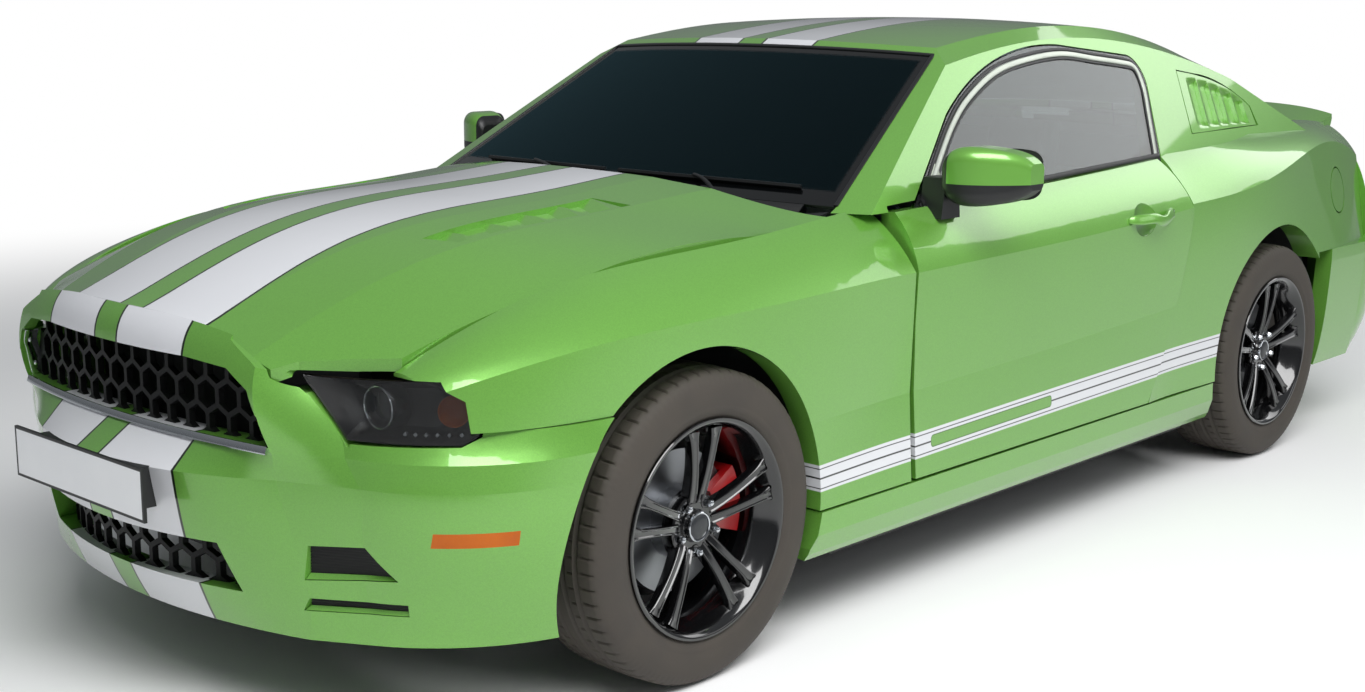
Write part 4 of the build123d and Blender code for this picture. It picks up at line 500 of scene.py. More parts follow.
def build(name, parts, materials, body, replaces=(), smooth=35.0):
    # joins the parts in one mesh, smooth up to the given angle, riding on a body
    offset, points, loops, starts, slots = 0, [], [], [], []
    for p in parts:
        points.append(p["points"])
        loops.append((p["faces"] + offset).ravel())
        starts.append(np.full(len(p["faces"]), p["faces"].shape[1]))
        slots.append(np.full(len(p["faces"]), p["slot"]))
        offset += len(p["points"])
    points, loops, sizes, slots = map(np.concatenate, (points, loops, starts, slots))
    mesh = bpy.data.meshes.new(name)
    mesh.vertices.add(len(points))
    mesh.vertices.foreach_set("co", points.ravel())
    mesh.loops.add(len(loops))
    mesh.loops.foreach_set("vertex_index", loops.astype(np.int32))
    mesh.polygons.add(len(sizes))
    mesh.polygons.foreach_set("loop_start", (np.cumsum(sizes) - sizes).astype(np.int32))
    mesh.polygons.foreach_set("material_index", slots.astype(np.int32))
    mesh.update(calc_edges=True)
    mesh.validate()
    work = bmesh.new()
    work.from_mesh(mesh)
    bmesh.ops.remove_doubles(work, verts=work.verts, dist=2e-6)
    bmesh.ops.recalc_face_normals(work, faces=work.faces)
    work.to_mesh(mesh)
    work.free()
    mesh.polygons.foreach_set("use_smooth", np.ones(len(mesh.polygons), bool))
    for material in materials:
        mesh.materials.append(material)
    piece = bpy.data.objects.new(name, mesh)
    bpy.context.scene.collection.objects.link(piece)
    mesh.set_sharp_from_angle(angle=math.radians(smooth))
    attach(piece, body)
    if replaces:
        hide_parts(*replaces)
    return piece


def buildPair(name, parts, materials, body, replaces=(), smooth=35.0):
    # the left piece and its mirror image; {hand} in the body's name stands for left or right
    for hand in ("left", "right"):
        build(f"{name}_{hand}", parts if hand == "left" else mirrored(parts), materials, body.format(hand=hand),
              replaces, smooth)


def ringTurn(profile, steps, loopProfile=False, flip=False, slot=0):
    # a profile of (y, radius) carried round the Y axis
    angle = np.linspace(0, 2 * math.pi, steps, endpoint=False)[:, None]
    y, r = np.asarray(profile, float).T
    points = np.stack([r * np.cos(angle), np.broadcast_to(y, (steps, len(y))), r * np.sin(angle)], axis=-1)
    return gridPart(points, True, loopProfile, flip, slot)


def smoothCurve(points, count):
    # Catmull-Rom through the points, evenly spaced by length, so the outline has no kinks
    p = np.asarray(points, float)
    p = np.vstack([2 * p[0] - p[1], p, 2 * p[-1] - p[-2]])
    t = np.linspace(0, 1, 24, endpoint=False)[:, None]
    runs = []
    for i in range(1, len(p) - 2):
        a, b, c, d = p[i - 1], p[i], p[i + 1], p[i + 2]
        runs.append(0.5 * (2 * b + (c - a) * t + (2 * a - 5 * b + 4 * c - d) * t ** 2
                           + (3 * b - a - 3 * c + d) * t ** 3))
    curve = np.vstack(runs + [p[-2:-1]])
    length = np.concatenate([[0], np.cumsum(np.linalg.norm(np.diff(curve, axis=0), axis=1))])
    even = np.linspace(0, length[-1], count)
    return np.column_stack([np.interp(even, length, curve[:, k]) for k in range(curve.shape[1])])


def superRing(half, power, count):
    # |a/w|^n + |b/h|^n = 1, walked by angle
    t = np.linspace(0, 2 * math.pi, count, endpoint=False)
    a = np.sign(np.cos(t)) * np.abs(np.cos(t)) ** (2 / power) * half[0]
    b = np.sign(np.sin(t)) * np.abs(np.sin(t)) ** (2 / power) * half[1]
    return np.column_stack([a, b])


def unit(vectors):
    return vectors / np.linalg.norm(vectors, axis=1)[:, None]


def tube(path, radius, around=12, slot=0):
    # a round bar along a path: a circle set square to the path at each point
    path = np.asarray(path, float)
    ahead = unit(np.gradient(path, axis=0))
    side = unit(np.cross(ahead, np.where(np.abs(ahead[:, 2:3]) > 0.9, [[1.0, 0, 0]], [[0, 0, 1.0]])))
    above = np.cross(side, ahead)
    angle = np.linspace(0, 2 * math.pi, around, endpoint=False)[None, :, None]
    radius = np.broadcast_to(np.asarray(radius, float).reshape(-1, 1, 1), (len(path), around, 1))
    points = path[:, None] + radius * (side[:, None] * np.cos(angle) + above[:, None] * np.sin(angle))
    return barParts(points, slot, True)


# wheels
tyre = {"steps": 512, "pitches": 64, "grooves": (-0.054, -0.019, 0.019, 0.054),
        "grooveHalf": 0.0042, "grooveDepth": 0.007, "slotDepth": 0.0045}


def tyreParts():
    # half section from bead over the wall to the crown, mirrored, then carried round; where the crown
    # has a groove the radius is less, and at the shoulders it dips once in every pitch of the tread
    half = smoothCurve([(0.0985, 0.2305), (0.102, 0.238), (0.1085, 0.2475), (0.1135, 0.26), (0.1166, 0.279),
                        (0.1168, 0.295), (0.114, 0.313), (0.109, 0.326), (0.101, 0.3365), (0.092, 0.3415)], 26)
    crownY = np.linspace(0.0895, -0.0895, 60)
    crown = np.column_stack([crownY, 0.3455 - 0.004 * (np.abs(crownY) / 0.09) ** 2.6])
    section = np.vstack([half, crown, half[::-1] * (-1, 1)])
    y, r = section.T
    angle = np.linspace(0, 2 * math.pi, tyre["steps"], endpoint=False)[:, None]
    tread = np.clip((r - 0.334) / 0.006, 0, 1)
    groove = sum(np.clip(1.6 - np.abs(y - g) / tyre["grooveHalf"], 0, 1) for g in tyre["grooves"])
    pitch = angle * tyre["pitches"] / (2 * math.pi) + 3.0 * np.abs(y)[None, :] + 0.5 * (y < 0)
    phase = np.abs(pitch % 1 - 0.5)
    slotCut = np.clip(1.6 - phase / 0.065, 0, 1) * np.clip((np.abs(y) - 0.06) / 0.003, 0, 1)
    middle = np.clip(1.5 - np.abs(pitch % 1 - 0.25) / 0.05, 0, 1) * np.clip((np.abs(y) - 0.027) / 0.003, 0, 1) \
        * np.clip((0.047 - np.abs(y)) / 0.003, 0, 1)
    depth = np.maximum(tyre["grooveDepth"] * groove, tyre["slotDepth"] * np.maximum(slotCut, 0.75 * middle)) * tread
    wall = 0.0009 * np.clip(np.cos(angle * 128), 0, 1) * np.exp(-((r - 0.327) / 0.005) ** 2)
    step = 0.0011 * (np.exp(-((r - 0.262) / 0.0016) ** 4) + np.exp(-((r - 0.309) / 0.0012) ** 4))
    radius = r - depth
    across = y + np.sign(y) * (wall + step)
    points = np.stack([radius * np.cos(angle), across, radius * np.sin(angle)], axis=-1)
    return [gridPart(points, True)]


rim = {"half": 0.113, "hubFace": 0.044, "pairs": 5, "nutCircle": 0.057,
       "root": 0.05, "tip": 0.216, "steps": 160}


def spokeParts(side):
    # a rounded, grooved section carried out along the radius; its middle drifts away from the pair's
    # own line and rises towards the lip, and its width and depth change as smooth curves
    s = np.linspace(0, 1, 22)[:, None]
    radial = rim["root"] + (rim["tip"] - rim["root"]) * s
    offset = side * (0.0135 + 0.0225 * s ** 1.25)
    halfWidth = 0.0128 - 0.0022 * np.sin(math.pi * s) + 0.005 * np.clip((s - 0.82) / 0.18, 0, 1) ** 2
    top = rim["hubFace"] + 0.027 + 0.027 * s ** 0.75 + 0.003 * np.sin(math.pi * s)
    deep = 0.03 - 0.012 * s
    outline = np.array([(-1.0, -1.0), (-1.0, -0.28), (-0.93, -0.1), (-0.8, -0.015), (-0.62, 0.0), (-0.42, -0.1),
                        (0.42, -0.1), (0.62, 0.0), (0.8, -0.015), (0.93, -0.1), (1.0, -0.28), (1.0, -1.0)])
    across = offset + halfWidth * outline[None, :, 0]
    height = top + deep * outline[None, :, 1]
    points = np.stack([across, height, np.broadcast_to(radial, across.shape)], axis=-1)
    return barParts(points)


def nutParts():
    # hexagonal nut with a chamfer and a domed cap, in a small round pocket
    six = np.arange(6) * math.pi / 3
    base = rim["hubFace"]
    rings = np.array([np.column_stack([radius * np.cos(six), np.full(6, base + height), radius * np.sin(six)])
                      for height, radius in ((0.022, 0.0098), (0.035, 0.0098), (0.037, 0.0086), (0.041, 0.0074),
                                             (0.044, 0.0048), (0.045, 0.0015))])
    pocket = [(base + 0.0248, 0.015), (base + 0.0252, 0.0138), (base + 0.0225, 0.0122), (base + 0.0222, 0.0098)]
    return [gridPart(rings, False, True, True, 1), capPart(rings[-1], False, 1), ringTurn(pocket, 24, False, True)]


def rimParts():
    h = rim["half"]
    barrel = [(h - 0.009, 0.229), (h - 0.0085, 0.24), (h - 0.006, 0.242), (h - 0.002, 0.242), (h, 0.2405),
              (h + 0.0002, 0.236), (h - 0.0015, 0.2325), (h - 0.0065, 0.2285), (h - 0.013, 0.224),
              (h - 0.023, 0.22), (0.078, 0.2135), (0.06, 0.203), (0.04, 0.1965), (-0.05, 0.196), (-0.085, 0.21),
              (-h + 0.004, 0.224), (-h, 0.233), (-h, 0.242), (-h + 0.009, 0.242), (-h + 0.009, 0.229),
              (-0.078, 0.223), (-0.046, 0.206), (0.038, 0.206), (0.062, 0.214), (0.076, 0.225)]
    parts = [ringTurn(barrel, rim["steps"], True, True)]
    f = rim["hubFace"]
    hub = [(f, 0.073), (f + 0.014, 0.0735), (f + 0.0215, 0.0715), (f + 0.0245, 0.067), (f + 0.0235, 0.045),
           (f + 0.0225, 0.037), (f + 0.026, 0.0345), (f + 0.033, 0.0335)]
    parts.append(ringTurn(hub, 96, False, True))
    cap = [(f + 0.033, 0.0335), (f + 0.0372, 0.0328), (f + 0.0385, 0.031), (f + 0.0375, 0.0285),
           (f + 0.035, 0.0278)]
    parts.append(ringTurn(cap, 96, False, True, 1))
    dome = [(f + 0.035, 0.0278), (f + 0.0372, 0.025), (f + 0.039, 0.018), (f + 0.0398, 0.009), (f + 0.04, 0.0003)]
    parts.append(ringTurn(dome, 96, False, True, 2))
    for k in range(rim["pairs"]):
        for side in (-1, 1):
            parts += turned(spokeParts(side), 2 * math.pi / rim["pairs"] * k)
    for k in range(5):
        angle = math.radians(54 + 72 * k)  # between the pairs of spokes
        parts += moved(nutParts(), (rim["nutCircle"] * math.cos(angle), 0, rim["nutCircle"] * math.sin(angle)))
    return parts


wheelPlaces = {"front": (1.439, 0.785, 0.346), "rear": (-1.281, 0.794, 0.346)}


def makeWheels():
    tyreSet, rimSet = tyreParts(), rimParts()
    for end, place in wheelPlaces.items():
        for hand in ("left", "right"):
            body = f"wheel_{end}_{hand}"
            for kind, source, materials, slot in (("tyre", tyreSet, [tyreRubber], "tyre_rubber"),
                                                  ("rim", rimSet, [blackRim, brightSteel, capPlastic], "black_rim")):
                parts = moved(source, place)
                if hand == "right":
                    parts = mirrored(parts)
                build(f"{kind}Detailed_{end}_{hand}", parts, materials, body, [f"{kind}_{end}_{hand}"])


# places on the panels
def skinTree(*names):
    # the skins of some nodes made searchable, so that trim can be seated on them
    points, faces, offset = [], [], 0
    for name in names:
        mesh, place = nodes[name].data, np.array(nodes[name].matrix_world)
        co = np.empty(len(mesh.vertices) * 3)
        mesh.vertices.foreach_get("co", co)
        points.append(co.reshape(-1, 3) @ place[:3, :3].T + place[:3, 3])
        faces += [tuple(v + offset for v in face.vertices) for face in mesh.polygons]
        offset += len(mesh.vertices)
    return BVHTree.FromPolygons(np.vstack(points).tolist(), faces)


def castOnto(tree, x, y, z, aim):
    # where rays along aim from each (x, y, z) first meet the skin, and its normal there; a ray that
    # misses takes its place from the rays before and after it
    starts = np.stack(np.broadcast_arrays(x, y, z), axis=-1).astype(float)
    hits = [tree.ray_cast(Vector(start), Vector(aim)) for start in starts.reshape(-1, 3)]
    met = np.array([hit[0] is not None for hit in hits])
    spots = np.array([hit[0][:] if hit[0] else (0, 0, 0) for hit in hits])
    normals = np.array([hit[1][:] if hit[0] else (0, 0, 0) for hit in hits])
    normals *= np.where(normals @ np.asarray(aim) > 0, -1, 1)[:, None]
    order = np.arange(len(met))
    for k in range(3):
        spots[:, k] = np.interp(order, order[met], spots[met, k])
        normals[:, k] = np.interp(order, order[met], normals[met, k])
    return spots.reshape(starts.shape), normals.reshape(starts.shape)


def evened(normals, times=6):
    # neighbours' normals averaged along a path, so a strip doesn't show the skin's facets
    for turn in range(times):
        before, after = np.roll(normals, 1, axis=0), np.roll(normals, -1, axis=0)
        before[0], after[-1] = normals[0], normals[-1]
        normals = (before + 2 * normals + after) / 4
    return unit(normals)


def strip(path, out, profile, slot=0):
    # a closed profile of (across, out) carried along a path that lies on a skin with normals out
    across = unit(np.cross(out, np.gradient(path, axis=0)))
    profile = np.asarray(profile, float)
    return barParts(path[:, None] + across[:, None] * profile[None, :, :1] + out[:, None] * profile[None, :, 1:],
                    slot)


def slab(front, back, slot=0):
    # two grids of the same size joined round their rims to one closed piece
    def rimOf(grid):
        return np.vstack([grid[0], grid[1:-1, -1], grid[-1, ::-1], grid[-2:0:-1, 0]])
    rimPoints = np.stack([rimOf(front), rimOf(back)])
    return [gridPart(front, slot=slot), gridPart(back, flip=True, slot=slot),
            gridPart(rimPoints, False, True, True, slot)]


def flatBead(width, height, round=0.35):
    # profile of a low moulding: flat foot, rounded shoulders
    h, w, r = height, width / 2, height * round
    return [(-w, -0.001), (w, -0.001), (w, h - r), (w - r * 0.4, h - r * 0.3), (w - r * 1.2, h), (-w + r * 1.2, h),
            (-w + r * 0.4, h - r * 0.3), (-w, h - r)]


# headlamps
lamp = {"low": 0.6165, "high": 0.7395, "inset": 0.003, "columns": 56, "rows": 22, "lensThickness": 0.0025,
        "bowl": 0.052, "ringCentre": (2.088, 0.632, 0.68), "ringRadius": 0.04, "ringFacing": (1.0, 0.02, 0.0)}


def lampGrid(tree, inset):
    # rows go up the lamp, columns from its inner to its outer edge; both edges are broken lines in
    # front view, and the depth comes from the nose
    z = np.linspace(lamp["low"] + inset, lamp["high"] - inset, lamp["rows"])
    inner = np.interp(z, [0.612, 0.742], [0.6, 0.492]) + inset * 1.3
    outer = np.interp(z, [0.616, 0.634, 0.706, 0.742], [0.792, 0.812, 0.802, 0.762]) - inset * 1.3
    u = np.linspace(0, 1, lamp["columns"])
    y = inner[:, None] + (outer - inner)[:, None] * u
    return castOnto(tree, 3.0, y, z[:, None], (-1, 0, 0))


def facing(parts, centre, ahead):
    # a piece made about the Y axis set with that axis along ahead at a centre
    side, above, ahead = axesAlong(ahead)
    turn = np.column_stack([side, ahead, above])
    return [part(p["points"] @ turn.T + np.asarray(centre), p["faces"], p["slot"]) for p in parts]


def makeHeadlamps():
    tree = skinTree("headlamps")
    outer, normals = lampGrid(tree, lamp["inset"])
    lens = slab(outer, outer - normals * lamp["lensThickness"])
    # the bowl is as deep as its distance from the rim allows, up to a floor that steps at the turn lamp
    rows, columns = outer.shape[:2]
    v, u = np.meshgrid(np.linspace(0, 1, rows), np.linspace(0, 1, columns), indexing="ij")
    edge = np.minimum(np.minimum(u * 3.4, (1 - u) * 3.4), np.minimum(v, 1 - v) * 2.2)
    depth = 0.006 + lamp["bowl"] * np.clip(edge / 0.42, 0, 1) ** 0.55 * (1 - 0.45 * np.clip((u - 0.72) / 0.1, 0, 1))
    inner = outer - np.stack([depth, depth * 0.15, np.zeros_like(depth)], axis=-1)
    housing = slab(inner, inner - (0.008, 0.002, 0))
    ahead = lamp["ringFacing"]
    r = lamp["ringRadius"]
    barrel = [ringTurn([(-0.03, r + 0.006), (0.006, r + 0.006), (0.01, r + 0.0045), (0.01, r + 0.001),
                        (0.004, r - 0.002), (-0.03, r - 0.003)], 64, True, True, 1)]
    ring = [ringTurn([(0.0085, r + 0.0005), (0.01, r + 0.0035), (0.0125, r + 0.004), (0.014, r + 0.0025),
                      (0.0135, r), (0.0105, r - 0.001)], 72, True, True, 2)]
    dome = [(-0.004, r - 0.003)] + [(-0.004 + 0.013 * math.cos(t), (r - 0.003) * math.sin(t))
                                    for t in np.linspace(math.pi / 2, 0.02, 12)]
    bulb = [ringTurn(dome, 64, False, True, 3)]
    beam = facing(barrel + ring + bulb, lamp["ringCentre"], ahead)
    # turn lamp: an amber reflector cup at the outer end and a row of small clear prisms under it
    spot, normal = castOnto(tree, 3, 0.767, 0.682, (-1, 0, 0))
    cup = facing([ringTurn([(-0.012, 0.0003), (-0.011, 0.012), (-0.005, 0.024), (0.005, 0.029), (0.005, 0.031),
                            (-0.014, 0.028)], 40, False, True, 4)], spot - normal * 0.013, normal)
    prisms = []
    for k in range(6):
        y = 0.7 + 0.0165 * k
        spot, normal = castOnto(tree, 3, y, 0.636, (-1, 0, 0))
        gem = ringTurn([(-0.01, 0.0062), (0.0, 0.006), (0.003, 0.004), (0.0036, 0.0003)], 4, False, True, 2)
        prisms += facing([gem], spot - (0.011, 0.003, 0), normal)
    inside = housing + beam + cup + prisms
    for hand in ("left", "right"):
        if hand == "right":
            inside, lens = mirrored(inside), mirrored(lens)
        build(f"headlampHousing_{hand}", inside, [lampBlack, glossBlack, brightSteel, bulbGlass, amberLens],
              "car_body", smooth=40)
        build(f"headlampLens_{hand}", lens, [smokedLens], "car_body", ["headlamps"], smooth=50)


# bright strips of the grille
def makeGrilleTrim():
    tree = skinTree("front_bumper")
    # along the foot of the opening, just above the ledge, and up both its jambs
    y = np.linspace(-0.474, 0.474, 121)
    spots = castOnto(tree, 3.0, y, 0.5925, (-1, 0, 0))[0]
    out = evened(np.column_stack([np.ones(121), 0.55 * y, np.full(121, 0.35)]))
    foot = strip(spots, out, flatBead(0.017, 0.0055))
    jambs = []
    corners = np.array([(0.478, 0.603), (0.4745, 0.632), (0.4685, 0.661), (0.46, 0.686), (0.4465, 0.71)])
    line = smoothCurve(corners, 24)
    for hand in (-1, 1):
        front = castOnto(tree, 3.0, hand * (line[:, 0] + 0.006), line[:, 1], (-1, 0, 0))[0]
        path = np.column_stack([front[:, 0] - 0.022, hand * (line[:, 0] - 0.0012), line[:, 1]])
        out = np.tile((0.1, -hand * 1.0, -0.12), (24, 1))
        jambs += strip(path, unit(out), flatBead(0.03, 0.0022))
        for k in (5, 17):
            bolt = ringTurn([(0, 0.0055), (0.003, 0.005), (0.0042, 0.003), (0.0044, 0.0003)], 20, False, True, 0)
            jambs += facing([bolt], path[k] + out[k] * 0.002, out[k])
    build("grilleBrightTrim", foot + jambs, [brightSteel], "car_body", smooth=40)


# side windows
sideWindow = {"lowY": 0.836, "lean": 0.5, "lowZ": 0.9,
              "outline": [(0.583, 0.96), (0.52, 1.015), (0.43, 1.086), (0.33, 1.157), (0.22, 1.217),
                          (0.05, 1.28), (-0.12, 1.31), (-0.33, 1.325), (-0.51, 1.309),
                          (-0.67, 1.293), (-0.718, 1.284), (-0.743, 1.262), (-0.75, 1.225),
                          (-0.744, 1.185), (-0.72, 1.13), (-0.685, 1.05), (-0.66, 0.995)]}


def sidePlane(points, off):
    # points given in side view put on the leaning plane of the side glass, moved out by off
    lean = sideWindow["lean"]
    out = np.array([0, 1.0, lean]) / math.hypot(1, lean)
    y = sideWindow["lowY"] - lean * (points[:, 1] - sideWindow["lowZ"])
    return np.column_stack([points[:, 0], y, points[:, 1]]) + out * off, np.tile(out, (len(points), 1))


def insetCurve(curve, distance):
    # each point moved square to the curve
    ahead = unit(np.gradient(curve, axis=0))
    return curve + np.column_stack([-ahead[:, 1], ahead[:, 0]]) * distance


def makeWindowTrim():
    curve = smoothCurve(sideWindow["outline"], 150)
    bands = []
    # three bands round the glass, a pale satin one between two dark ones; the pale band's tone is painted sky
    # reflection on the window surround
    for distance, width, height, slot in ((0.0045, 0.009, 0.0025, 1), (0.018, 0.017, 0.0042, 0),
                                          (0.03, 0.008, 0.003, 1)):
        path, out = sidePlane(insetCurve(curve, distance), 0.0)
        bands += strip(path, out, flatBead(width, height), slot=slot)
    # belt seal along the foot of the glass, and the corner panel ahead of it, whose pale tone is painted sky
    # reflection
    path, out = sidePlane(np.linspace((0.575, 0.9645), (-0.655, 1.0075), 60), 0.0)
    bands += strip(path, out, flatBead(0.016, 0.0065), slot=1)
    corner = np.array([(0.56, 0.975), (0.455, 0.98), (0.455, 1.05), (0.462, 1.052)])
    v, u = np.meshgrid(np.linspace(0, 1, 10), np.linspace(0, 1, 14), indexing="ij")
    low = corner[0] + (corner[1] - corner[0]) * u[..., None]
    high = corner[3] + (corner[2] - corner[3]) * u[..., None]
    flat = (low + (high - low) * v[..., None]).reshape(-1, 2)
    face, out = sidePlane(flat, 0.003)
    back, out = sidePlane(flat, -0.001)
    bands += slab(face.reshape(10, 14, 3), back.reshape(10, 14, 3), 2)
    buildPair("windowTrim", bands, [satinTrimAndPaintedSkyReflection, blackTrim, cornerPaintedSkyReflection], "{hand}_door", smooth=40)


# door handles
handle = {"from": -0.272, "to": -0.512, "z": 0.858, "rise": 0.034, "cup": (-0.368, 0.853),
          "cupRadius": (0.06, 0.046)}


def makeHandles():
    tree = skinTree("door_left")
    s = np.linspace(0, 1, 48)
    x = handle["from"] + (handle["to"] - handle["from"]) * s
    z = handle["z"] - 0.01 * np.sin(math.pi * s) + 0.006 * s
    spots, normals = castOnto(tree, x, 2.0, z, (0, -1, 0))
    out = evened(normals, 12)
    # the grip stands off along a flattened sine and is a rounded bar, thinner at both ends
    lift = handle["rise"] * np.sin(math.pi * s) ** 0.55
    path = spots + out * (lift - 0.002)[:, None]
    size = 0.35 + 0.65 * np.clip(np.sin(math.pi * s) * 3.0, 0, 1) ** 0.5
    up = unit(np.cross(np.gradient(path, axis=0), out))
    high, deep = (size[:, None, None] * ring[None, :, None] for ring in superRing((0.015, 0.0065), 2.5, 20).T)
    parts = barParts(path[:, None] + up[:, None] * high + out[:, None] * deep)
    # the dish behind the grip is a thin shell on the skin; its hollow look comes from the paint's bump
    t = np.linspace(0, 2 * math.pi, 48, endpoint=False)
    a, b = handle["cupRadius"]
    share = np.linspace(0.02, 1, 9)[:, None]
    dishX = handle["cup"][0] + a * share * np.cos(t)
    dishZ = handle["cup"][1] + b * share * np.sin(t)
    skin = castOnto(tree, dishX, 2.0, dishZ, (0, -1, 0))[0]
    dish = skin + np.array([0, 1.0, 0.1]) * (0.0014 * (1 - share ** 8))[..., None]
    cup = [gridPart(dish, False, True, False, 1), capPart(dish[0], True, 1)]
    barrel = ringTurn([(-0.001, 0.0085), (0.0025, 0.0085), (0.0032, 0.007), (0.0028, 0.0003)], 32, False, True, 2)
    lock = moved([barrel], spots[44] + (-0.02, 0, 0.002))
    buildPair("doorHandle", parts + cup + lock, [greenPaint, cupPaint, brightSteel], "{hand}_door",
              smooth=50)


# windscreen seal and wipers
screen = {"side": ((0.8, 0.718), (0.232, 0.588)), "topMiddle": 0.3, "sealWidth": 0.011, "sealHeight": 0.0035,
          "wiperRise": 0.016}


def screenEdge(count):
    # the glass's edge from above: up the left side, over the top arc (a parabola) and down the right side
    (lowX, lowY), (highX, highY) = screen["side"]
    t = np.linspace(0, 1, count)[:, None]
    left = np.array([lowX, lowY]) + (np.array([highX, highY]) - (lowX, lowY)) * t
    y = np.linspace(highY, -highY, count)
    top = np.column_stack([screen["topMiddle"] - (screen["topMiddle"] - highX) * (y / highY) ** 2, y])
    return np.vstack([left[:-1], top, (left * (1, -1))[::-1][1:]])


def makeScreenTrim():
    tree = skinTree("windshield", "side_frame_left", "side_frame_right", "roof")
    plan = screenEdge(70) * (1.0, 0.996) + (-0.0015, 0)
    spots, normals = castOnto(tree, plan[:, 0], plan[:, 1], 2.0, (0, 0, -1))
    seal = strip(spots, evened(normals, 10), flatBead(screen["sealWidth"], screen["sealHeight"]))
    build("windscreenSeal", seal, [sealRubber], "car_body", smooth=50)
    # scuttle cover between the foot of the glass and the hood: both edges are parabolas from above
    glass = skinTree("windshield")
    y = np.linspace(-0.64, 0.64, 129)
    high = castOnto(glass, 0.919 - footCurve * y ** 2, y, 2.0, (0, 0, -1))[0] + (0.004, 0, -0.003)
    low = np.column_stack([1.016 - 0.328 * y ** 2, y, np.full(129, 0.948)])
    t = np.linspace(0, 1, 12)[:, None, None]
    cover = high + (low - high) * t
    cover[..., 2] -= 0.01 * np.sin(math.pi * t[..., 0]) ** 2
    build("scuttleCover", slab(cover, cover - (0, 0, 0.003)), [scuttlePlastic], "car_body", smooth=50)
    parts = []
    for row, ends in ((109, (0.6, 0.06)), (62, (0.01, -0.52))):
        y = np.linspace(ends[0], ends[1], 60)
        spots, normals = castOnto(glass, 0.872 - footCurve * y ** 2, y, 2.0, (0, 0, -1))
        out = evened(normals, 20)
        squeegee = [(-0.0012, 0.0005), (0.0012, 0.0005), (0.0016, 0.006), (0.0058, 0.0075), (0.0062, 0.01),
                    (0.002, 0.015), (-0.0052, 0.011), (-0.0058, 0.0078), (-0.0016, 0.006)]
        parts += strip(spots, out, squeegee)
        # the arm leaves its boss on the cover, lifts as a sine and comes down on the blade's middle
        foot = cover[6, row]
        t = np.linspace(0, 1, 30)[:, None]
        arm = foot + (0, 0, 0.012) + (spots[32] + out[32] * 0.016 - foot - (0, 0, 0.012)) * t
        arm[:, 2] += screen["wiperRise"] * np.sin(math.pi * t.ravel())
        parts += tube(arm, 0.007 - 0.0028 * t.ravel(), 14)
        boss = ringTurn([(-0.004, 0.012), (0.012, 0.012), (0.017, 0.009), (0.0185, 0.0003)], 28, False, True)
        parts += facing([boss], foot, (0.001, 0, 1.0))
    build("wipers", parts, [sealRubber], "car_body", smooth=40)


# mirrors
mirrorFace = {"middle": (0.417, 0.95, 1.037), "along": (-0.3783, 0.9257, 0.0), "back": (-0.9257, -0.3783, 0.0),
              "half": (0.076, 0.054), "power": 4.0}


def makeMirrors():
    along, back = np.array(mirrorFace["along"]), np.array(mirrorFace["back"])
    middle = np.array(mirrorFace["middle"])
    outline = superRing((1, 1), mirrorFace["power"], 72)

    def ring(grow, off):
        a = outline[:, :1] * (mirrorFace["half"][0] + grow)
        b = outline[:, 1:] * (mirrorFace["half"][1] + grow)
        return middle + a * along + b * np.array([0, 0, 1.0]) + off * back

    bezel = np.stack([ring(0.009, -0.004), ring(0.009, 0.0015), ring(0.006, 0.0035), ring(0.001, 0.0035),
                      ring(-0.001, 0.0005), ring(-0.001, -0.004)])
    parts = [gridPart(bezel, True, True, False, 0)]
    pane = np.stack([ring(-mirrorFace["half"][1] * (1 - s), 0.0008 + 0.001 * (1 - s ** 2))
                     for s in (0.06, 0.3, 0.55, 0.8, 0.985)])
    parts += [gridPart(pane, False, True, True, 1), capPart(pane[0], True, 1)]
    buildPair("mirrorFace", parts, [blackTrim, mirrorSilver], "{hand}_door", smooth=40)


# seats
seats = {
    # side-view line (x, z), half thickness along it, half width, crown, bolster, channels along the line,
    # distance from the middle of the car, and how much of the outer form the padding fills
    "frontSeatCushion": {"line": [(-0.415, 0.39), (-0.25, 0.392), (-0.08, 0.4), (0.08, 0.412)],
                         "thick": (0.048, 0.047), "wide": 0.212, "crown": 0.006, "bolster": 0.012,
                         "channels": (0.3, 0.46, 0.62, 0.78), "y": 0.372, "fill": 0.65},
    "frontSeatBack": {"line": [(-0.392, 0.41), (-0.462, 0.59), (-0.528, 0.77), (-0.572, 0.908)],
                      "thick": (0.066, 0.042), "wide": 0.202, "crown": 0.006, "bolster": 0.014,
                      "channels": (0.22, 0.36, 0.5, 0.64), "y": 0.372, "fill": 0.65},
    "headRestraint": {"line": [(-0.557, 0.905), (-0.562, 0.975), (-0.572, 1.04), (-0.584, 1.095)],
                      "thick": (0.036, 0.034), "wide": 0.116, "crown": 0.004, "bolster": 0.0, "channels": (0.5,),
                      "y": 0.372, "fill": 0.75},
    "rearSeatCushion": {"line": [(-1.01, 0.452), (-0.88, 0.456), (-0.75, 0.462), (-0.632, 0.47)],
                        "thick": (0.046, 0.05), "wide": 0.288, "crown": 0.006, "bolster": 0.008,
                        "channels": (0.35, 0.55, 0.75), "y": 0.3, "fill": 0.6},
    "rearSeatBack": {"line": [(-1.082, 0.52), (-1.11, 0.64), (-1.142, 0.77), (-1.176, 0.892)],
                     "thick": (0.046, 0.036), "wide": 0.288, "crown": 0.006, "bolster": 0.008,
                     "channels": (0.3, 0.5, 0.7), "y": 0.3, "fill": 0.6},
}
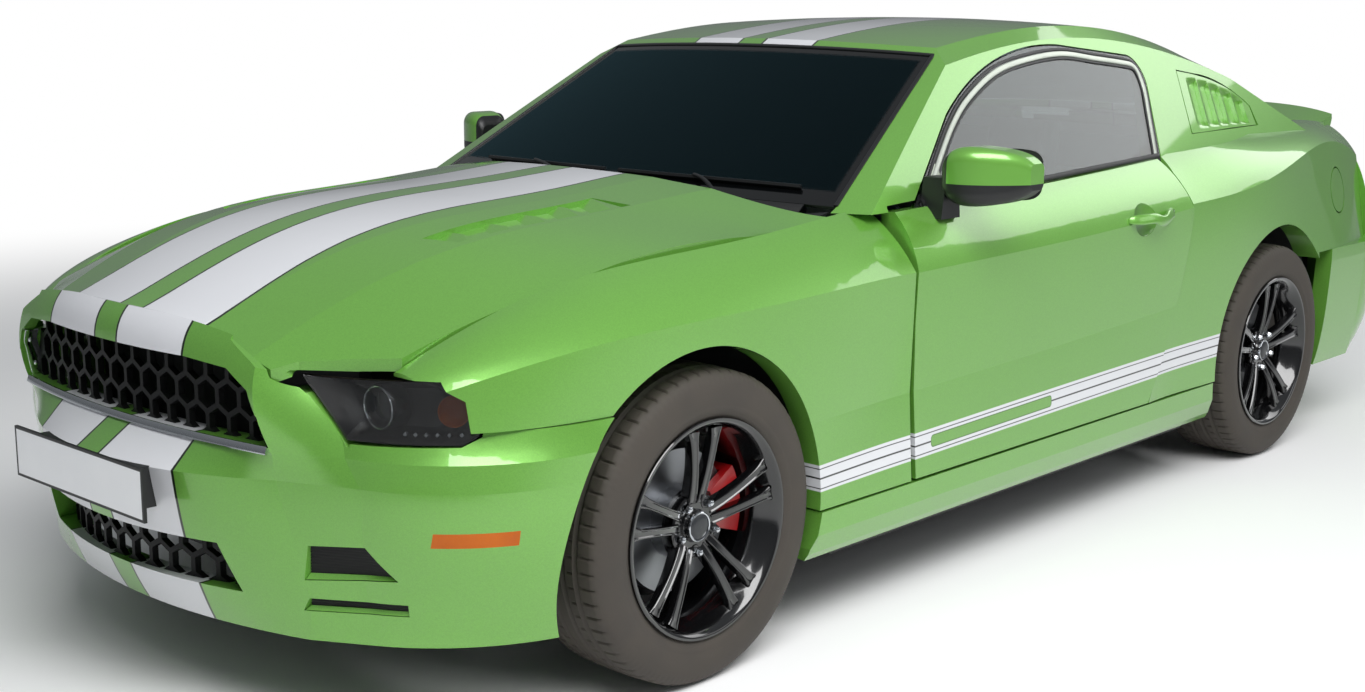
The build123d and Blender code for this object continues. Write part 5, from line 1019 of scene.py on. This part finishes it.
seatBase = {
    # rails and plinths under the front seats and a moulded base under the bench: line, half thickness,
    # half width, distances from the middle of the car, points along and around
    "railInner": ([(-0.39, 0.27), (-0.25, 0.268), (-0.1, 0.268), (0.02, 0.27)], 0.06, 0.015, 0.372, -0.175, (28, 40)),
    "railOuter": ([(-0.39, 0.27), (-0.25, 0.268), (-0.1, 0.268), (0.02, 0.27)], 0.06, 0.015, 0.372, 0.175, (28, 40)),
    "plinth": ([(-0.4, 0.335), (-0.25, 0.333), (-0.08, 0.338), (0.06, 0.345)], 0.018, 0.205, 0.372, 0.0, (28, 48)),
    "bench": ([(-0.985, 0.4), (-0.86, 0.4), (-0.76, 0.4), (-0.65, 0.402)], 0.04, 0.215, 0.375, 0.0, (28, 48)),
}


def cushionParts(row, y, count=84, around=96):
    # a rounded section carried along the side-view line: its ends pull in as (1 - t^6)^(1/6); the worn
    # side is crowned, rises to bolsters at both edges, and has sewn channels and two long seams
    e = np.linspace(-1, 1, count)
    s = 0.5 + 0.5 * np.sign(e) * (1 - (1 - np.abs(e)) ** 1.6)
    line = smoothCurve([(x, 0, z) for x, z in row["line"]], 200)
    path = np.column_stack([np.interp(s, np.linspace(0, 1, 200), line[:, k]) for k in range(3)])
    ahead = unit(np.gradient(path, axis=0))
    out = np.column_stack([-ahead[:, 2], np.zeros(count), ahead[:, 0]])
    if out[:, 0].mean() < -0.5 or out[:, 2].mean() < -0.5:
        out = -out
    t = np.abs(2 * s - 1)
    pull = np.clip(1 - t ** 6, 0.0, 1) ** (1 / 6)
    thick = np.interp(s, [0, 1], row["thick"]) * np.maximum(pull, 0.02)
    wide = row["wide"] * (1 - 0.05 * t ** 8 - 0.1 * (1 - pull) ** 1.5)
    u, v = superRing((1, 1), 4.2, around).T
    across = wide[:, None] * u
    side = np.abs(u)[None, :]
    face = np.clip(v * 3, 0, 1)[None, :]
    live = np.clip((1 - t) * 9, 0, 1)[:, None]
    raised = np.clip((side - 0.62) / 0.2, 0, 1) ** 1.5
    lift = row["crown"] * (1 - side ** 2) + row["bolster"] * raised * (1 - side ** 6)
    sewn = sum(np.exp(-((s[:, None] - c) / 0.01) ** 2) for c in row["channels"])
    channels = sewn * np.clip((0.66 - side) / 0.04, 0, 1)
    seams = np.exp(-((side - 0.66) / 0.02) ** 2)
    cut = 0.0065 * np.minimum(channels + seams, 1)
    high = thick[:, None] * v + (lift - cut) * face * live
    points = path[:, None] + out[:, None] * high[..., None] + np.array([0, 1.0, 0]) * (across + y)[..., None]
    return barParts(points)


def makeSeats():
    for name, row in seats.items():
        for hand, y in (("left", row["y"]), ("right", -row["y"])):
            piece = build(f"{name}_{hand}", cushionParts(row, y), [seatLeather], "car_body",
                          smooth=60)
    parts = []
    for line, thick, wide, y, off, counts in seatBase.values():
        row = {"line": line, "thick": (thick, thick), "wide": wide, "crown": 0.0, "bolster": 0.0, "channels": ()}
        for side in (y, -y):
            parts += cushionParts(row, side + off, *counts)
    for y in (0.422, 0.322, -0.322, -0.422):  # posts of the head restraints
        parts += tube(smoothCurve([(-0.575, y, 0.862), (-0.566, y, 0.9), (-0.563, y, 0.945)], 10), 0.006, 14,
                      slot=1)
    build("seatFrames", parts, [cabinPlastic, brightSteel], "car_body", ["seats"], smooth=40)


# louvred panels behind the side windows
louvre = {"top": [(-1.376, 1.13), (-1.33, 1.16), (-1.26, 1.19), (-1.17, 1.216), (-1.08, 1.233), (-0.98, 1.246)],
          "low": [(-1.376, 1.067), (-1.3, 1.066), (-1.2, 1.065), (-1.1, 1.063), (-1.000, 1.061), (-0.928, 1.061)],
          "slats": 5, "from": 0.1, "to": 0.9, "deep": 0.013, "edge": 0.1, "columns": 161, "rows": 40}


def makeLouvres():
    # rows run up the panel and columns along it; in each slat's pitch the skin falls back evenly and
    # returns at once, and towards the panel's edges the saw fades to a flat border
    high, low = smoothCurve(louvre["top"], louvre["columns"]), smoothCurve(louvre["low"], louvre["columns"])
    v = np.linspace(0, 1, louvre["rows"])[:, None, None]
    flat = low + (high - low) * v
    u = np.linspace(0, 1, louvre["columns"])[None, :]
    share = (u - louvre["from"]) / (louvre["to"] - louvre["from"]) * louvre["slats"]
    saw = np.clip((1 - share % 1) * 1.12 - 0.06, 0, 1)
    inside = np.clip(np.minimum(v[..., 0], 1 - v[..., 0]) / louvre["edge"] - 1, 0, 1)
    live = ((u > louvre["from"]) & (u < louvre["to"])) * inside ** 0.5
    depth = 0.0015 + louvre["deep"] * saw * live
    tree = skinTree("side_frame_left")
    # the ring of skin round the opening gives the plane that the panel lies in
    edge = np.vstack([high + (0, 0.012), low - (0, 0.012)])
    spots = castOnto(tree, edge[:, 0], 2.0, edge[:, 1], (0, -1, 0))[0]
    terms = np.column_stack([edge, edge[:, 0] ** 2, np.ones(len(edge))])
    fit = np.linalg.lstsq(terms, spots[:, 1], rcond=None)[0]
    x, z = flat[..., 0], flat[..., 1]
    y = x * fit[0] + z * fit[1] + x ** 2 * fit[2] + fit[3]
    out = np.array([0, 1.0, -fit[1]]) / math.hypot(1, fit[1])
    face = np.stack([x, y, z], axis=-1) - out * depth[..., None]
    back = np.stack([x, y, z], axis=-1) - out * (louvre["deep"] + 0.004)
    buildPair("louvrePanel", slab(face, back), [greenPaint], "car_body", ["quarter_louvres"], 25)


# tail lamps
tail = {"from": 0.44, "to": 0.79, "segments": 3, "low": (0.704, 0.716), "high": (0.872, 0.862), "gap": 0.009}


def makeTailLamps():
    # each upright segment is a lens with fine vertical flutes and a pillowed face; the inner one
    # is the clear reversing lamp
    tree = skinTree("tail_lamps", "tail_panel", "rear_bumper", "side_frame_left")
    span = (tail["to"] - tail["from"]) / tail["segments"]
    parts = []
    for k in range(tail["segments"]):
        y = np.linspace(tail["from"] + k * span + tail["gap"], tail["from"] + (k + 1) * span - tail["gap"], 49)
        low = np.interp(y, (tail["from"], tail["to"]), tail["low"]) + 0.008
        high = np.interp(y, (tail["from"], tail["to"]), tail["high"]) - 0.008
        v = np.linspace(0, 1, 33)[:, None]
        z = low + (high - low) * v
        spots = castOnto(tree, -3.5, y, z, (1, 0, 0))[0]
        u = np.linspace(0, 1, 49)[None, :]
        pillow = 1 - np.maximum(np.abs(2 * u - 1), np.abs(2 * v - 1)) ** 6
        lift = 0.0012 + 0.004 * pillow + 0.0007 * np.cos(u * 2 * math.pi * 12) * pillow
        face = spots - np.array([1.0, 0, 0]) * lift[..., None]
        face[..., 0] = np.maximum(face[..., 0], -2.392)
        parts += slab(face, spots + (0.004, 0, 0), int(k == 0))
    buildPair("tailLampLenses", parts, [redLens, clearLens], "car_body", smooth=45)


# upright panels under the spoiler's ends
def makeTailFillers():
    # carries the tail panel's upper edge up to just under the deck lid, leaning as the panel does
    tree = skinTree("tail_panel")
    y = np.linspace(0.404, 0.592, 40)
    foot = castOnto(tree, -3.5, y, 0.928, (1, 0, 0))[0]
    rise = np.linspace(0, 0.058, 8)[:, None, None]
    face = foot + np.concatenate([0.16 * rise, 0 * rise, rise], axis=-1) + (-0.001, 0, 0)
    buildPair("tailFiller", slab(face, face + (0.004, 0, 0)), [greenPaint], "car_body", smooth=50)


# inserts of the fog recess and of the slot below it
insert = {
    # corners (y, z): low inner, low outer, high outer, high inner; the depth behind the skin low and high;
    # heights where the bumper's skin is met below and above the opening
    "fogBlack": {"corners": ((0.5165, 0.3435), (0.6795, 0.352), (0.6395, 0.4105), (0.529, 0.403)),
                 "depth": (0.012, 0.005), "skin": (0.322, 0.42), "slot": 0},
    "fogLip": {"corners": ((0.514, 0.3318), (0.6875, 0.3465), (0.6795, 0.352), (0.5165, 0.3435)),
               "depth": (0.001, 0.0112), "skin": (0.322, 0.42), "slot": 1},
    "slotBlack": {"corners": ((0.5085, 0.2745), (0.689, 0.2775), (0.692, 0.293), (0.516, 0.291)),
                  "depth": (0.01, 0.005), "skin": (0.256, 0.302), "slot": 0},
    "slotLip": {"corners": ((0.503, 0.2655), (0.6885, 0.2695), (0.689, 0.2775), (0.5085, 0.2745)),
                "depth": (0.001, 0.0092), "skin": (0.256, 0.302), "slot": 1},
}


def insertParts(tree, row):
    v, u = np.linspace(0, 1, 24)[:, None, None], np.linspace(0, 1, 40)[None, :, None]
    a, b, c, d = (np.array(corner) for corner in row["corners"])
    spot = (1 - v) * ((1 - u) * a + u * b) + v * ((1 - u) * d + u * c)
    y, z = spot[..., 0], spot[..., 1]
    # the missing skin is a straight mix of the skin just below and just above the opening
    below, above = (castOnto(tree, 3.0, y, level, (-1, 0, 0))[0][..., 0] for level in row["skin"])
    share = (z - row["skin"][0]) / (row["skin"][1] - row["skin"][0])
    deep = row["depth"][0] + (row["depth"][1] - row["depth"][0]) * v[..., 0]
    ribs = 0.0008 * np.cos(z / 0.0065 * 2 * math.pi) * (row["slot"] == 0)
    face = np.stack([below + (above - below) * share - deep + ribs, y, z], axis=-1)
    return slab(face, face - (0.003, 0.001, 0), row["slot"])


def makeInserts():
    tree = skinTree("front_bumper")
    parts = sum((insertParts(tree, row) for row in insert.values()), [])
    buildPair("bumperInserts", parts, [grilleBlack, greenPaint], "car_body", smooth=50)


# door linings
lining = {"from": -0.56, "to": 0.56, "y": 0.772, "armZ": 0.64, "pocketZ": 0.420}


def makeLinings():
    # an armrest, a pull and a map pocket's edge on each door's inner side
    x = np.linspace(lining["from"], lining["to"], 60)
    inward = np.tile((0, -1.0, 0.0), (60, 1))
    arm = np.column_stack([x[8:50], np.full(42, lining["y"] + 0.012), lining["armZ"] + 0.05 * x[8:50]])
    section = [(-0.034, -0.002), (0.034, -0.002), (0.032, 0.02), (0.022, 0.04), (0.004, 0.046), (-0.014, 0.042),
               (-0.028, 0.022)]
    parts = strip(arm, inward[:42], section)
    edge = np.column_stack([x, np.full(60, lining["y"] + 0.014), np.full(60, lining["pocketZ"])])
    parts += strip(edge, inward, flatBead(0.05, 0.018))
    pull = smoothCurve([(0.1, 0.78, 0.77), (0.08, 0.75, 0.772), (-0.02, 0.745, 0.774), (-0.1, 0.75, 0.776),
                        (-0.12, 0.78, 0.778)], 30)
    parts += tube(pull, 0.009, 14, slot=1)
    buildPair("doorLining", parts, [cabinPlastic, satinTrimAndPaintedSkyReflection], "{hand}_door", smooth=45)


# insulating pad under the hood
pad = {"rear": 0.985, "front": 2.02, "halfRear": 0.56, "halfFront": 0.52, "off": 0.0025, "thick": 0.006,
       "tuft": 0.003, "pitch": 0.115}


def makeHoodPad():
    # follows the hood's inner skin; it is quilted in squares, thickest in each square's middle
    tree = skinTree("hood")
    v, u = np.meshgrid(np.linspace(0, 1, 60), np.linspace(-1, 1, 60), indexing="ij")
    x = pad["rear"] + (pad["front"] - pad["rear"]) * v
    y = (pad["halfRear"] + (pad["halfFront"] - pad["halfRear"]) * v) * u
    skin = castOnto(tree, x, y, 0.55, (0, 0, 1))[0]
    quilt = np.abs(np.sin(math.pi * x / pad["pitch"]) * np.sin(math.pi * y / pad["pitch"])) ** 0.4
    drop = pad["off"] + pad["thick"] + pad["tuft"] * quilt
    top = skin - (0, 0, pad["off"])
    low = skin - np.array([0, 0, 1.0]) * drop[..., None]
    build("hoodPad", slab(low, top), [feltBlack], "hood_lid", smooth=60)


for stage in (makeCamera, makeStudio, makeWheels, makeHeadlamps, makeGrilleTrim, makeWindowTrim, makeHandles,
              makeScreenTrim, makeMirrors, makeSeats, makeLouvres, makeTailLamps, makeTailFillers, makeInserts,
              makeLinings, makeHoodPad):
    stage()
    print(stage.__name__, "done")

print("finished")
